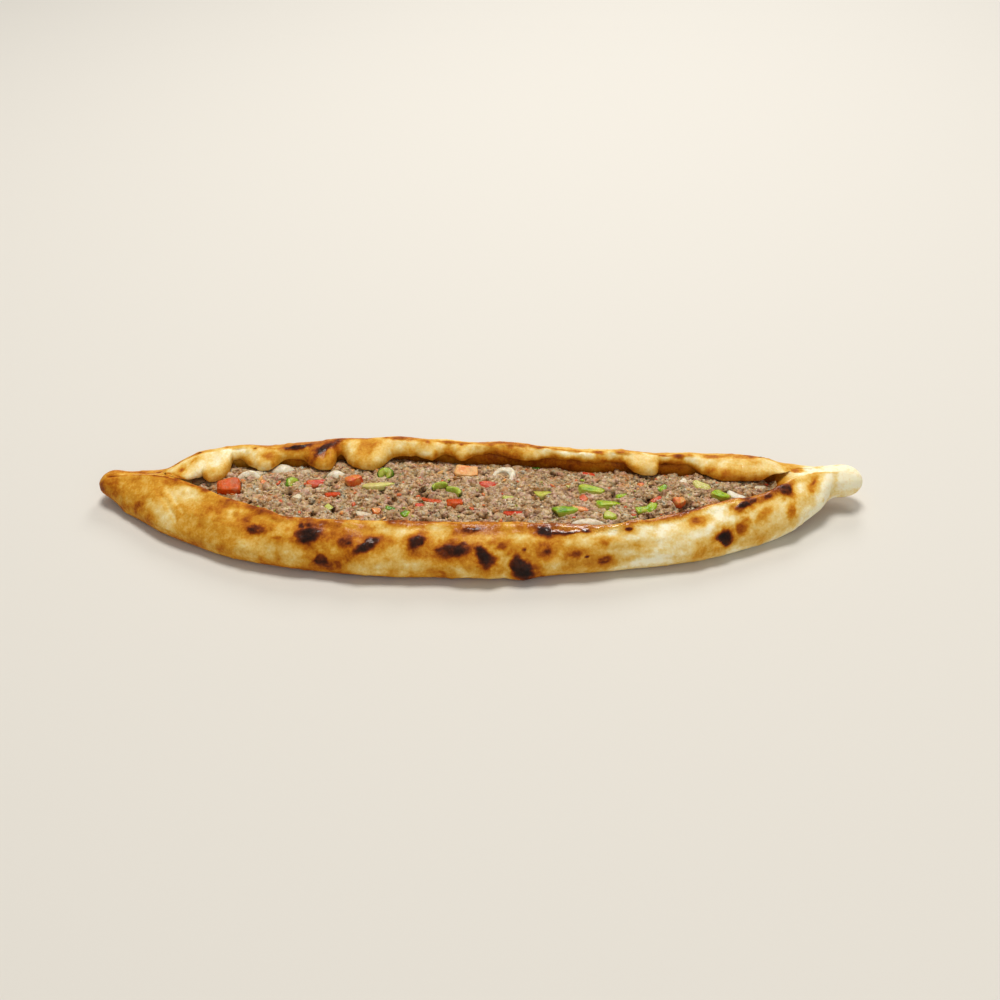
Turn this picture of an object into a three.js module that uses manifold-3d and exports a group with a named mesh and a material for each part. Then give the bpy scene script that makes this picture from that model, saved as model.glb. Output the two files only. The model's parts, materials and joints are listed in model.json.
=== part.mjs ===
// A minced-meat pide: a long boat of baked flatbread dough, pinched shut at both ends, with a bed of minced
// meat in its trough and pieces of tomato, green pepper and onion sunk in the meat.
// Millimetres, +Z up. The boat lies along X on its flat underside; its high, lobed back rim is at +Y.
import * as THREE from 'three';
import { mergeVertices } from 'three/addons/utils/BufferGeometryUtils.js';
import Module from 'manifold-3d';

const wasm = await Module();
wasm.setup();

const HALF_LENGTH = 230;
const BASE_THICKNESS = 5;
const MEAT_GAP = 0.5;
const TOPPING_GAP = 0.35;

// A smooth curve through [x, value] stations that never overshoots them, flat beyond both ends.
function rail(...stations) {
  const last = stations.length - 1;
  const secant = (i) =>
    (stations[i + 1][1] - stations[i][1]) / (stations[i + 1][0] - stations[i][0]);
  const slopes = stations.map((_, i) => {
    if (i === 0) return secant(0);
    if (i === last) return secant(last - 1);
    const before = secant(i - 1);
    const after = secant(i);
    return before * after <= 0 ? 0 : (2 * before * after) / (before + after);
  });
  return (x) => {
    if (x <= stations[0][0]) return stations[0][1];
    if (x >= stations[last][0]) return stations[last][1];
    const i = stations.findIndex((s) => s[0] > x) - 1;
    const [x0, v0] = stations[i];
    const [x1, v1] = stations[i + 1];
    const span = x1 - x0;
    const t = (x - x0) / span;
    const t2 = t * t;
    const t3 = t2 * t;
    return (
      v0 * (2 * t3 - 3 * t2 + 1) +
      v1 * (3 * t2 - 2 * t3) +
      span * (slopes[i] * (t3 - 2 * t2 + t) + slopes[i + 1] * (t3 - t2))
    );
  };
}

const mix = (a, b, t) => a + (b - a) * t;
const clamp01 = (t) => Math.min(1, Math.max(0, t));
const smooth = (t) => clamp01(t) ** 2 * (3 - 2 * clamp01(t));
const bell = (t) => (1 - Math.min(1, t * t)) ** 2;

// The boat's outline and heights along its length.
const hull = {
  frontBulge: rail(
    [-230, -10], [-215, -19], [-197, -31], [-180, -42.5], [-160, -53.5], [-130, -66], [-90, -74.5],
    [-40, -79.5], [0, -80], [28, -79.2], [50, -76.8], [72, -73.6], [118, -65.6], [153, -53.2],
    [180, -39.4], [200, -24.5], [213, -12], [230, -9],
  ),
  frontCrest: rail(
    [-230, -3], [-205, -5], [-188, -9], [-167, -20], [-144, -34], [-118, -46], [-104, -53],
    [-60, -56.5], [38, -58], [72, -59], [95, -54], [118, -46], [141, -36.5], [165, -28.5],
    [178, -20], [188, -11], [205, -4], [230, -3],
  ),
  frontCrestZ: rail(
    [-230, 18], [-205, 20], [-180, 23], [-110, 25], [30, 25.5], [150, 24.5], [186, 25], [200, 23],
    [212, 23.5], [230, 24],
  ),
  backCrest: rail(
    [-230, 3], [-205, 1], [-192, 0], [-184, 2], [-177, 6], [-165, 12], [-140, 16], [-112, 16.5],
    [-84, 23], [-58, 26], [-30, 23], [10, 20.5], [40, 18], [62, 14], [100, 11.5], [145, 8.8],
    [172, 8.6], [184, 3], [205, 3], [230, 3],
  ),
  backCrestZ: rail(
    [-230, 16], [-205, 16.5], [-192, 18], [-183, 21.5], [-165, 25], [-60, 26.5], [60, 25.5],
    [165, 25.5], [176, 25], [188, 22], [200, 21], [212, 22.5], [230, 24],
  ),
  backBulge: rail(
    [-230, 9], [-205, 12], [-190, 15], [-178, 21], [-155, 29], [-120, 33.5], [-85, 37.2], [-55, 38.6],
    [-20, 37.2], [20, 34], [62, 29.5], [100, 26.5], [150, 24], [172, 21.5], [190, 16], [208, 11], [230, 10],
  ),
  underside: rail([-230, 1.5], [-205, 1], [-185, 0], [172, 0], [190, 3.5], [205, 7], [230, 7.5]),
};

// How far the trough is open at x: 0 where the ends are pinched shut, 1 along the middle.
const openness = (x) => smooth((x + 192) / 34) * smooth((190 - x) / 26);

// Each pinched end turns into a blunt round tip.
const tips = {
  left: { centreY: -1, centreZ: 9.8, halfWidth: 10, halfHeight: 8.6, roundLength: 12, turnsRoundFrom: 210 },
  right: { centreY: 0, centreZ: 14.6, halfWidth: 10, halfHeight: 9.7, roundLength: 13, turnsRoundFrom: 203 },
};

// The folded edge of the back rim: its plain lip, and the lobes that hang from it over the meat. Each lobe
// has its own widths to the left and right of x, and how square its two sides are.
const lip = { reach: 2.6, highZ: 20.4, lowZ: 17, sags: 6 };
const lobes = [
  { x: -172, left: 25, right: 9, reach: 17.5, square: [2.4, 4] },
  { x: -156, left: 13, right: 7, reach: 20, square: [4, 8] },
  { x: -128.5, left: 22, right: 14, reach: 12, square: [2, 2] },
  { x: -91, left: 18, right: 4.6, reach: 15.4, square: [3, 8] },
  { x: -64, left: 21, right: 12, reach: 20, square: [3, 3] },
  { x: -52, left: 8, right: 24, reach: 9.5, square: [2, 2] },
  { x: -27.5, left: 8.5, right: 9, reach: 12, square: [2, 2] },
  { x: -10, left: 9, right: 14, reach: 8.6, square: [3, 3] },
  { x: 12, left: 7, right: 7, reach: 5, square: [2, 2] },
  { x: 31, left: 15, right: 16, reach: 6, square: [3, 3] },
  { x: 67, left: 10, right: 8, reach: 1.6, square: [2, 2] },
  { x: 102.5, left: 10.5, right: 6.5, reach: 7.6, square: [8, 6] },
  { x: 118, left: 6, right: 6, reach: 1.4, square: [2, 2] },
  { x: 158, left: 29, right: 26, reach: 11.2, square: [3, 3] },
];

// How far the lip comes in from the crest at x, and how low its edge hangs: the further in, the lower.
function lipAt(x) {
  const outs = lobes.map((lobe) => {
    const [width, square] = x < lobe.x ? [lobe.left, lobe.square[0]] : [lobe.right, lobe.square[1]];
    const share = Math.min(1, Math.abs(x - lobe.x) / width);
    return lobe.reach * (1 - share ** square) ** 2;
  });
  const out = Math.max(...outs);
  return { reach: lip.reach + out, z: lip.lowZ + (lip.highZ - lip.lowZ) * Math.exp(-out / lip.sags) };
}

// Blisters that the oven raised on the front wall; up runs from 0 at the table to 1 at the crest.
const blisters = [
  { x: -127, up: 0.48, radius: 8, rise: 1.2 },
  { x: -86, up: 0.7, radius: 9, rise: 1.3 },
  { x: -62, up: 0.55, radius: 10, rise: 1.3 },
  { x: -29, up: 0.68, radius: 8, rise: 1.1 },
  { x: -3, up: 0.48, radius: 10, rise: 1.2 },
  { x: 11, up: 0.38, radius: 9, rise: 1.4 },
  { x: 29, up: 0.2, radius: 11, rise: 1.5 },
  { x: 44, up: 0.45, radius: 8, rise: 1 },
  { x: 141, up: 0.38, radius: 8, rise: 1.4 },
  { x: 152, up: 0.86, radius: 7, rise: 1.1 },
  { x: 179, up: 0.88, radius: 7, rise: 1.1 },
  { x: 182, up: 0.5, radius: 8, rise: 1 },
];

// One cross-section of the crust as corner points [y, z], from under the middle round by the front, over the
// front crest, through the trough, over the back crest and down again.
const FRONT_CREST = 7;
const BACK_CREST = 21;
function crustCorners(x) {
  const front = hull.frontBulge(x);
  const back = hull.backBulge(x);
  const width = back - front;
  const crestF = [hull.frontCrest(x), hull.frontCrestZ(x)];
  const crestB = [hull.backCrest(x), hull.backCrestZ(x)];
  const low = hull.underside(x);
  const rise = crestF[1] - low;
  const riseB = crestB[1] - low;
  const lean = crestF[0] - front;
  const leanB = back - crestB[0];
  const floor = low + BASE_THICKNESS;
  const fit = Math.min(1, (crestB[0] - crestF[0]) / 34);
  const edge = lipAt(x);
  const reach = Math.min(edge.reach, 0.8 * (crestB[0] - crestF[0]));
  const inner = crestB[0] - 2.4 * fit;
  const corners = [
    [back - 0.5 * width, low],
    [front + 0.24 * width, low],
    [front + 0.055 * width + 1.5, low],
    [front + 1.3, low + 0.13 * rise],
    [front, low + 0.37 * rise],
    [front + 0.33 * lean, low + 0.76 * rise],
    [front + 0.76 * lean, crestF[1] - 0.07 * rise],
    crestF,
    [crestF[0] + 3.4 * fit, crestF[1] - 2.2],
    [crestF[0] + 4.8 * fit, crestF[1] - 8],
    [crestF[0] + 6.2 * fit, floor + 3.2],
    [crestF[0] + 10 * fit, floor],
    [mix(crestF[0], crestB[0], 0.5), floor],
    [inner - 7 * fit, floor],
    [inner - 1.6 * fit, floor + 3],
    [inner, edge.z - 1.6],
    [Math.max(inner - 1.4 * fit, crestB[0] - reach + 3.4 * fit), edge.z + 0.9],
    [crestB[0] - reach + 1.9 * fit, edge.z + 0.2],
    [crestB[0] - reach, edge.z + 1.6],
    [crestB[0] - 0.93 * reach, mix(edge.z, crestB[1], 0.52)],
    [crestB[0] - 0.5 * reach, mix(edge.z, crestB[1], 0.87)],
    crestB,
    [crestB[0] + 0.5 * leanB, crestB[1] - 0.13 * riseB],
    [crestB[0] + 0.9 * leanB, low + 0.6 * riseB],
    [back, low + 0.34 * riseB],
    [back - 1.2, low + 0.12 * riseB],
    [back - 0.05 * width - 1.2, low],
    [back - 0.24 * width, low],
  ];
  const open = openness(x);
  const across = crestB[0] - crestF[0];
  return corners.map(([y, z], i) => {
    if (i <= FRONT_CREST || i >= BACK_CREST) return [y, z];
    const share = clamp01((y - crestF[0]) / across);
    const lid = mix(crestF[1], crestB[1], share) - 2.2 * Math.sin(Math.PI * share) * fit;
    return [y, mix(lid, z, open)];
  });
}

// Points taken on the curve between each corner and the next: fine where the crust turns, coarse where flat.
const CORNER_STEPS = [1, 1, 1, 2, 2, 2, 2, 2, 1, 1, 1, 1, 1, 1, 1, 1, 2, 2, 2, 2, 2, 2, 2, 1, 1, 1, 1, 1];

function crustRing(x) {
  const corners = crustCorners(x);
  const end = x < 0 ? tips.left : tips.right;
  const roundness = smooth((Math.abs(x) - end.turnsRoundFrom) / 16);
  const shaped = corners.map(([y, z]) => {
    const dy = (y - end.centreY) / end.halfWidth;
    const dz = (z - end.centreZ) / end.halfHeight;
    const far = Math.hypot(dy, dz) || 1;
    return new THREE.Vector3(
      0,
      mix(y, end.centreY + (dy / far) * end.halfWidth, roundness),
      mix(z, end.centreZ + (dz / far) * end.halfHeight, roundness),
    );
  });
  const past = Math.max(0, Math.abs(x) - (HALF_LENGTH - end.roundLength)) / end.roundLength;
  const shrink = Math.sqrt(Math.max(0, 1 - past * past));
  const curve = new THREE.CatmullRomCurve3(shaped, true, 'centripetal');
  const flat = hull.underside(x) + 1e-6;
  const ring = [];
  CORNER_STEPS.forEach((count, i) => {
    for (let k = 0; k < count; k++) {
      const p = curve.getPoint((i + k / count) / CORNER_STEPS.length);
      const y = mix(end.centreY, p.y, shrink);
      const z = mix(end.centreZ, Math.max(p.z, roundness > 0 ? 0 : flat), shrink);
      ring.push([y, z]);
    }
  });
  return ring;
}

// The point of the front wall at x that lies a share up of the way from table to crest.
function wallPoint(x, up) {
  const corners = crustCorners(x);
  const at = mix(2, FRONT_CREST, up);
  const i = Math.floor(at);
  const [a, b] = [corners[i], corners[Math.min(i + 1, FRONT_CREST)]];
  return new THREE.Vector3(x, mix(a[0], b[0], at - i), mix(a[1], b[1], at - i));
}

// How far the baked surface stands proud at a point: slow swells and the blisters.
const blisterSpots = blisters.map((b) => ({ ...b, at: wallPoint(b.x, b.up) }));
function crustRelief(p) {
  const swell =
    0.45 * Math.sin(p.x / 9.5 + 1.3 * Math.sin(p.z / 6)) + 0.35 * Math.sin(p.x / 5.3 + p.y / 11 + 2);
  let rise = swell * smooth((p.z - 2) / 6);
  for (const spot of blisterSpots) rise += spot.rise * bell(p.distanceTo(spot.at) / spot.radius);
  return rise;
}

// Moves each point of a ring along the ring's own outward direction by the distance that riseAt gives for it.
function raised(ring, riseAt) {
  return ring.map(([y, z], i) => {
    const [ya, za] = ring[(i + ring.length - 1) % ring.length];
    const [yb, zb] = ring[(i + 1) % ring.length];
    const length = Math.hypot(yb - ya, zb - za) || 1;
    const rise = riseAt(y, z);
    return [y - (rise * (zb - za)) / length, z + (rise * (yb - ya)) / length];
  });
}

function reliefRing(x) {
  const low = hull.underside(x);
  return raised(crustRing(x), (y, z) => {
    const trough = Math.abs(x) < 200 && y > hull.frontCrest(x) + 1 && y < hull.backCrest(x) - 1;
    if (z < low + 0.4 || trough) return 0;
    return crustRelief(new THREE.Vector3(x, y, z)) * smooth((225 - Math.abs(x)) / 12);
  });
}

// A closed surface through rings of points, drawn together to a point at both ends. Seen from +X the rings
// run anticlockwise.
function loft(rings, firstPoint, lastPoint) {
  const count = rings[0].length;
  const points = [firstPoint, ...rings.flat(), lastPoint];
  const last = points.length - 1;
  const at = (r, i) => 1 + r * count + (i % count);
  const index = [];
  for (let i = 0; i < count; i++) {
    index.push(0, at(0, i + 1), at(0, i));
    for (let r = 0; r + 1 < rings.length; r++) {
      index.push(at(r, i), at(r, i + 1), at(r + 1, i));
      index.push(at(r, i + 1), at(r + 1, i + 1), at(r + 1, i));
    }
    index.push(last, at(rings.length - 1, i), at(rings.length - 1, i + 1));
  }
  const geometry = new THREE.BufferGeometry();
  geometry.setAttribute('position', new THREE.Float32BufferAttribute(points.flat(), 3));
  geometry.setIndex(index);
  return geometry;
}

// Even steps of about the given length, without the last point.
function stepsAlong(from, to, step) {
  const count = Math.round((to - from) / step);
  return Array.from({ length: count }, (_, i) => mix(from, to, i / count));
}

// Where the cross-sections stand along x: at the round tips, and at the middle and sides of every lobe, with
// the stretches between them filled evenly.
const STATION_GAP = { least: 3.6, most: 9.5 };
function crustStations() {
  const tipSteps = [0.35, 0.65, 0.86, 0.97];
  const leftStart = HALF_LENGTH - tips.left.roundLength;
  const rightStart = HALF_LENGTH - tips.right.roundLength;
  const turns = lobes.flatMap(({ x, left, right }) => [
    x - left, x - 0.5 * left, x, x + 0.6 * right, x + right,
  ]);
  const body = [-leftStart];
  for (const x of [...turns.sort((a, b) => a - b), rightStart]) {
    const last = body[body.length - 1];
    if (x - last < STATION_GAP.least) continue;
    body.push(...stepsAlong(last, x, STATION_GAP.most).slice(1), x);
  }
  return [
    ...tipSteps.map((t) => -(leftStart + t * tips.left.roundLength)).reverse(),
    ...body,
    ...tipSteps.map((t) => rightStart + t * tips.right.roundLength),
  ];
}

// The crust, or with grow above 0 the room that it takes up with that much air round it.
function crustGeometry(grow = 0) {
  const rings = crustStations().map((x) => {
    const ring = raised(reliefRing(x), () => grow);
    return ring.map(([y, z]) => [x, y, z]).reverse();
  });
  return loft(
    rings,
    [-HALF_LENGTH - grow, tips.left.centreY, tips.left.centreZ],
    [HALF_LENGTH + grow, tips.right.centreY, tips.right.centreZ],
  );
}

// Seeded random numbers, the same on every run.
function randomFrom(seed) {
  let state = seed;
  return () => {
    state = (state * 1664525 + 1013904223) % 4294967296;
    return state / 4294967296;
  };
}

// The bed of minced meat: a long heap that fills the trough to just under the lip, rough with crumbs.
const meat = { from: -172, to: 178, level: 15.4, dome: 2.4, roughness: 1.1, crumb: 3.4, edgeDrop: 2.6 };

const noiseTable = Array.from({ length: 256 }, randomFrom(29));
function crumbNoise(x, y) {
  const corner = (i, j) => noiseTable[(((i * 57 + j * 131) % 256) + 256) % 256];
  const [i, j] = [Math.floor(x), Math.floor(y)];
  const [u, v] = [smooth(x - i), smooth(y - j)];
  const near = mix(corner(i, j), corner(i + 1, j), u);
  const far = mix(corner(i, j + 1), corner(i + 1, j + 1), u);
  return mix(near, far, v) * 2 - 1;
}

// The room between the trough's own walls at x, less the air that the meat keeps from them.
function troughRoom(x) {
  const corners = crustCorners(x);
  const clear = MEAT_GAP + 0.3;
  return {
    front: corners[10][0] + clear,
    frontLow: corners[11][0] + clear,
    back: corners[14][0] - clear,
    backLow: corners[13][0] - clear,
    floor: corners[12][1] + MEAT_GAP,
  };
}

function meatTop(x, y, room) {
  const share = clamp01((y - room.front) / (room.back - room.front));
  const ends = smooth((x - meat.from) / 22) * smooth((meat.to - x) / 22);
  const domed = meat.level + meat.dome * Math.sin(Math.PI * share) ** 0.8 * ends - 2.5 * (1 - ends);
  const shoulder = smooth((share - 0.86) / 0.14) + 0.6 * smooth((0.07 - share) / 0.07);
  const rough = meat.roughness * crumbNoise(x / meat.crumb, y / meat.crumb) * ends;
  const edge = lipAt(x);
  const underLip = y > hull.backCrest(x) - edge.reach - 3;
  const top = domed - meat.edgeDrop * shoulder + rough;
  return underLip ? Math.min(top, edge.z - 1.3) : top;
}

function meatGeometry() {
  const topPoints = 13;
  const xs = stepsAlong(meat.from, meat.to, 6);
  const rings = xs.map((x) => {
    const room = troughRoom(x);
    const middle = mix(room.front, room.back, 0.5);
    const squeeze = Math.sqrt(clamp01(0.06 + Math.min(x - meat.from, meat.to - x) / 16));
    const ring = [
      [room.backLow, room.floor],
      [mix(room.frontLow, room.backLow, 0.5), room.floor],
      [room.frontLow, room.floor],
    ];
    for (let k = 0; k < topPoints; k++) {
      const y = mix(room.front, room.back, k / (topPoints - 1));
      ring.push([y, Math.max(meatTop(x, y, room), room.floor + 1.5)]);
    }
    return ring.map(([y, z]) => [x, mix(middle, y, squeeze), z]).reverse();
  });
  const cap = (ring) => {
    const sum = ring.reduce((s, p) => [s[0] + p[0], s[1] + p[1], s[2] + p[2]], [0, 0, 0]);
    return sum.map((v) => v / ring.length);
  };
  return loft(rings, cap(rings[0]), cap(rings[rings.length - 1]));
}

// A closed geometry as a solid that can be joined and cut, and back again.
function solidOf(geometry) {
  const bare = geometry.clone();
  bare.deleteAttribute('normal');
  bare.deleteAttribute('uv');
  const merged = mergeVertices(bare, 1e-4);
  return new wasm.Manifold(
    new wasm.Mesh({
      numProp: 3,
      vertProperties: new Float32Array(merged.attributes.position.array),
      triVerts: new Uint32Array(merged.index.array),
    }),
  );
}

function geometryOf(solid) {
  const mesh = solid.getMesh();
  const geometry = new THREE.BufferGeometry();
  geometry.setAttribute('position', new THREE.BufferAttribute(Float32Array.from(mesh.vertProperties), 3));
  geometry.setIndex(new THREE.BufferAttribute(Uint32Array.from(mesh.triVerts), 1));
  geometry.computeVertexNormals();
  return geometry;
}

// A diced chunk: a box with soft, uneven corners.
function chunkShape({ size: [width, depth, height] }, random, grow) {
  const box = new THREE.BoxGeometry(1, 1, 1, 2, 2, 2);
  const merged = mergeVertices(stripped(box), 1e-4);
  const p = merged.attributes.position;
  const size = [width + 2 * grow, depth + 2 * grow, height + 2 * grow];
  for (let i = 0; i < p.count; i++) {
    const v = new THREE.Vector3().fromBufferAttribute(p, i);
    const soft = 1 / (1 + 0.42 * (v.length() / 0.5 - 1));
    const uneven = 0.94 + 0.1 * random();
    p.setXYZ(i, v.x * size[0] * soft * uneven, v.y * size[1] * soft * uneven, v.z * size[2] * soft);
  }
  return merged;
}

// A slice of a pepper's or onion's wall: a strip bent round part of a ring, thinner at its two ends.
function arcShape({ radius, sweep, thickness, height }, random, grow) {
  const half = (sweep * Math.PI) / 360 + grow / radius;
  const rings = [];
  const count = Math.max(4, Math.round(sweep / 26));
  for (let i = 0; i <= count; i++) {
    const t = i / count;
    const angle = mix(-half, half, t);
    const thin = 0.62 + 0.38 * Math.sin(Math.PI * t);
    const [t2, h2] = [thickness * thin * 0.5 + grow, height * thin * 0.5 + grow];
    const section = [
      [t2, -0.6 * h2], [t2, 0.6 * h2], [0, h2], [-t2, 0.6 * h2], [-t2, -0.6 * h2], [0, -h2],
    ];
    rings.push(
      section.map(([out, up]) => [
        (radius + out) * Math.sin(angle),
        (radius + out) * Math.cos(angle) - radius,
        up * (1 + 0.05 * random()),
      ]),
    );
  }
  const centre = (ring) => [0, 1, 2].map((k) => ring.reduce((s, p) => s + p[k], 0) / ring.length);
  return loft(rings, centre(rings[0]), centre(rings[rings.length - 1]));
}

// A petal of onion or a leaf-shaped pepper cut: a thin cupped shell, pointed at its two ends.
function petalShape({ size: [length, width, thickness], cup }, random, grow) {
  const rings = [];
  const count = 6;
  for (let i = 1; i < count; i++) {
    const t = i / count;
    const x = mix(-0.5, 0.5, t) * (length + 2 * grow);
    const half = 0.5 * width * Math.sin(Math.PI * t) ** 0.6 + grow;
    const lift = -cup * (2 * t - 1) ** 2;
    const t2 = 0.5 * thickness + grow;
    const section = [[1, 0.1], [0.55, 1], [-0.55, 1], [-1, 0.1], [-0.6, -1], [0.6, -1]];
    rings.push(
      section.map(([across, up]) => [
        x,
        across * half,
        up * t2 * (0.92 + 0.12 * random()) + lift - cup * 0.6 * across * across,
      ]),
    );
  }
  return loft(rings, [-0.5 * length - grow, 0, -cup], [0.5 * length + grow, 0, -cup]);
}

function stripped(geometry) {
  geometry.deleteAttribute('normal');
  geometry.deleteAttribute('uv');
  return geometry;
}

const shapes = { chunk: chunkShape, arc: arcShape, petal: petalShape };

// Every topping as large as a berry: where its middle lies, how it is turned and tilted, in degrees, and how
// far its middle stands above the meat.
const toppings = {
  tomato: [
    { shape: 'chunk', at: [-148, -15], size: [11.5, 10.5, 8], turn: 12, tilt: 10, sunk: 0.6 },
    { shape: 'petal', at: [-95, -10], size: [13, 5, 2], cup: 1, turn: 12, tilt: 20, sunk: 0 },
    { shape: 'chunk', at: [-72, -10], size: [9, 8, 6], turn: 40, tilt: -12, sunk: 0.9 },
    { shape: 'petal', at: [-25, -26], size: [14, 6, 2.2], cup: 1.4, turn: -16, tilt: -16, sunk: 0.1 },
    { shape: 'chunk', at: [-11, -29], size: [9.5, 7, 5], turn: 10, tilt: -14, sunk: 0.3 },
    { shape: 'chunk', at: [-6, 2], size: [15, 9, 5.5], turn: -8, tilt: 8, sunk: 0.2 },
    { shape: 'petal', at: [8, -11], size: [12, 6, 2], cup: 1.8, turn: 4, tilt: 14, sunk: 0.2 },
    { shape: 'petal', at: [23, -38], size: [12, 6, 2.2], cup: 1.6, turn: 10, tilt: -12, sunk: 0.1 },
    { shape: 'chunk', at: [119, -28], size: [7, 6.5, 5], turn: 24, tilt: 10, sunk: 0.6 },
  ],
  pepper: [
    {
      shape: 'arc', at: [-112, -9], radius: 4.4, sweep: 190,
      thickness: 2.8, height: 5, turn: 70, tilt: 18, sunk: 0.4,
    },
    {
      shape: 'arc', at: [-53, 2], radius: 4.6, sweep: 240,
      thickness: 3.2, height: 6, turn: -20, tilt: 14, sunk: 0.6,
    },
    { shape: 'petal', at: [-57, -14], size: [21, 6, 3], cup: 1.4, turn: 16, tilt: -14, sunk: 0.4 },
    {
      shape: 'arc', at: [-22, -13], radius: 5, sweep: 170,
      thickness: 2.8, height: 5, turn: 28, tilt: -22, sunk: 0.5,
    },
    {
      shape: 'arc', at: [-10, -18], radius: 5, sweep: 170,
      thickness: 2.8, height: 5, turn: -38, tilt: -22, sunk: 0.4,
    },
    { shape: 'petal', at: [40, -19], size: [12, 8.5, 3], cup: 1.6, turn: 18, tilt: -16, sunk: 0.4 },
    { shape: 'petal', at: [53, -36], size: [16, 8, 3.2], cup: 2.2, turn: 10, tilt: -14, sunk: 0.9 },
    { shape: 'petal', at: [69, -15], size: [17, 8.5, 3], cup: 2.2, turn: -14, tilt: -12, sunk: 0.6 },
    { shape: 'petal', at: [78, -29], size: [15, 7, 3], cup: 2, turn: 4, tilt: -14, sunk: 0.8 },
    { shape: 'chunk', at: [79, -40], size: [9, 6, 4], turn: -20, tilt: 0, sunk: 0.2 },
    { shape: 'petal', at: [102, -32], size: [12, 6.5, 3], cup: 1.8, turn: 58, tilt: 10, sunk: 0.7 },
    { shape: 'petal', at: [110, -14], size: [9, 6, 2.6], cup: 1.4, turn: 48, tilt: 8, sunk: 0.4 },
    { shape: 'petal', at: [134, -10], size: [12, 6.5, 2.8], cup: 1.4, turn: -22, tilt: 10, sunk: 0.3 },
    { shape: 'petal', at: [144, -19], size: [11, 8, 3], cup: 1.8, turn: -34, tilt: -10, sunk: 0.6 },
  ],
  onion: [
    { shape: 'petal', at: [-118, 4], size: [15, 10, 2.4], cup: 3, turn: 8, tilt: 16, sunk: 0.9 },
    {
      shape: 'arc', at: [-137, -1], radius: 7, sweep: 150,
      thickness: 2.2, height: 5, turn: 10, tilt: 30, sunk: 0.5,
    },
    { shape: 'petal', at: [-84, -1], size: [12, 7, 2.4], cup: 2.2, turn: -4, tilt: 14, sunk: 0.6 },
    {
      shape: 'arc', at: [19, 4], radius: 6, sweep: 215,
      thickness: 2.8, height: 6, turn: -22, tilt: 12, sunk: 0.8,
    },
    { shape: 'petal', at: [66, -45], size: [20, 8, 2.8], cup: 2.8, turn: 2, tilt: -20, sunk: 0.9 },
  ],
};

// A topping's solid in place on the meat, or the slightly larger pocket that it sits in.
function toppingSolid(item, seed, grow) {
  const geometry = shapes[item.shape](item, randomFrom(seed), grow);
  const [x, y] = item.at;
  const surface = meatTop(x, y, troughRoom(x));
  const place = new THREE.Matrix4().compose(
    new THREE.Vector3(x, y, surface + item.sunk),
    new THREE.Quaternion().setFromEuler(
      new THREE.Euler(THREE.MathUtils.degToRad(item.tilt), 0, THREE.MathUtils.degToRad(item.turn), 'ZXY'),
    ),
    new THREE.Vector3(1, 1, 1),
  );
  return solidOf(stripped(geometry).applyMatrix4(place));
}

// Crumbs of pepper, tomato and onion too small to be pieces of their own, fused to the meat between the
// toppings.
const crumbs = { count: 26, least: 1.5, most: 2.6, seed: 71, apart: 8.5 };

function crumbSolids() {
  const random = randomFrom(crumbs.seed);
  const taken = Object.values(toppings).flat().map((item) => item.at);
  const solids = [];
  for (let tries = 0; tries < 4000 && solids.length < crumbs.count; tries++) {
    const x = mix(meat.from + 16, meat.to - 16, random());
    const room = troughRoom(x);
    const y = mix(room.front + 5, room.back - 9 - lipAt(x).reach * 0.5, random());
    const free = taken.every(([tx, ty]) => Math.hypot(tx - x, ty - y) > crumbs.apart);
    if (!free) continue;
    taken.push([x, y]);
    const size = mix(crumbs.least, crumbs.most, random());
    const lump = stripped(new THREE.IcosahedronGeometry(size, 0));
    lump.scale(1 + 0.5 * random(), 0.8, 0.7);
    lump.rotateZ(random() * Math.PI);
    lump.translate(x, y, meatTop(x, y, room) + 0.25 * size);
    solids.push(solidOf(lump));
  }
  return solids;
}

const materials = {
  crust: new THREE.MeshStandardMaterial({ color: 0xd9a24f, roughness: 0.55, metalness: 0 }),
  meat: new THREE.MeshStandardMaterial({ color: 0xa98478, roughness: 0.6, metalness: 0 }),
  tomato: new THREE.MeshStandardMaterial({ color: 0xc8401a, roughness: 0.4, metalness: 0 }),
  pepper: new THREE.MeshStandardMaterial({ color: 0x7da52c, roughness: 0.4, metalness: 0 }),
  onion: new THREE.MeshStandardMaterial({ color: 0xd8d2c0, roughness: 0.35, metalness: 0 }),
};

function named(name, geometry, material) {
  const mesh = new THREE.Mesh(geometry, material);
  mesh.name = name;
  return mesh;
}

// The meat has a pocket cut for each topping, a little larger than the topping itself.
function fillingParts() {
  let bed = solidOf(meatGeometry()).subtract(solidOf(crustGeometry(MEAT_GAP)));
  for (const lump of crumbSolids()) bed = bed.add(lump);
  const parts = [];
  let seed = 100;
  for (const [kind, items] of Object.entries(toppings)) {
    items.forEach((item, i) => {
      seed += 1;
      bed = bed.subtract(toppingSolid(item, seed, TOPPING_GAP));
      parts.push(named(`${kind}_${i + 1}`, geometryOf(toppingSolid(item, seed, 0)), materials[kind]));
    });
  }
  const whole = bed.decompose().sort((a, b) => b.volume() - a.volume())[0];
  parts.push(named('minced_meat', geometryOf(whole), materials.meat));
  return parts;
}

const pide = new THREE.Group();
pide.add(named('crust', crustGeometry(), materials.crust), ...fillingParts());

// The origin is under the middle of the whole, on the surface that the pide lies on.
const box = new THREE.Box3().setFromObject(pide);
const centre = box.getCenter(new THREE.Vector3());
pide.position.set(-centre.x, -centre.y, -box.min.z);

export default pide;
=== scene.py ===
# Dresses a baked pide over its solid frame: the dough, the minced meat in it and the chopped vegetables.
import bmesh
import bpy
import json
import math
import numpy as np
from mathutils import Matrix, Vector
from mathutils.bvhtree import BVHTree

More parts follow.
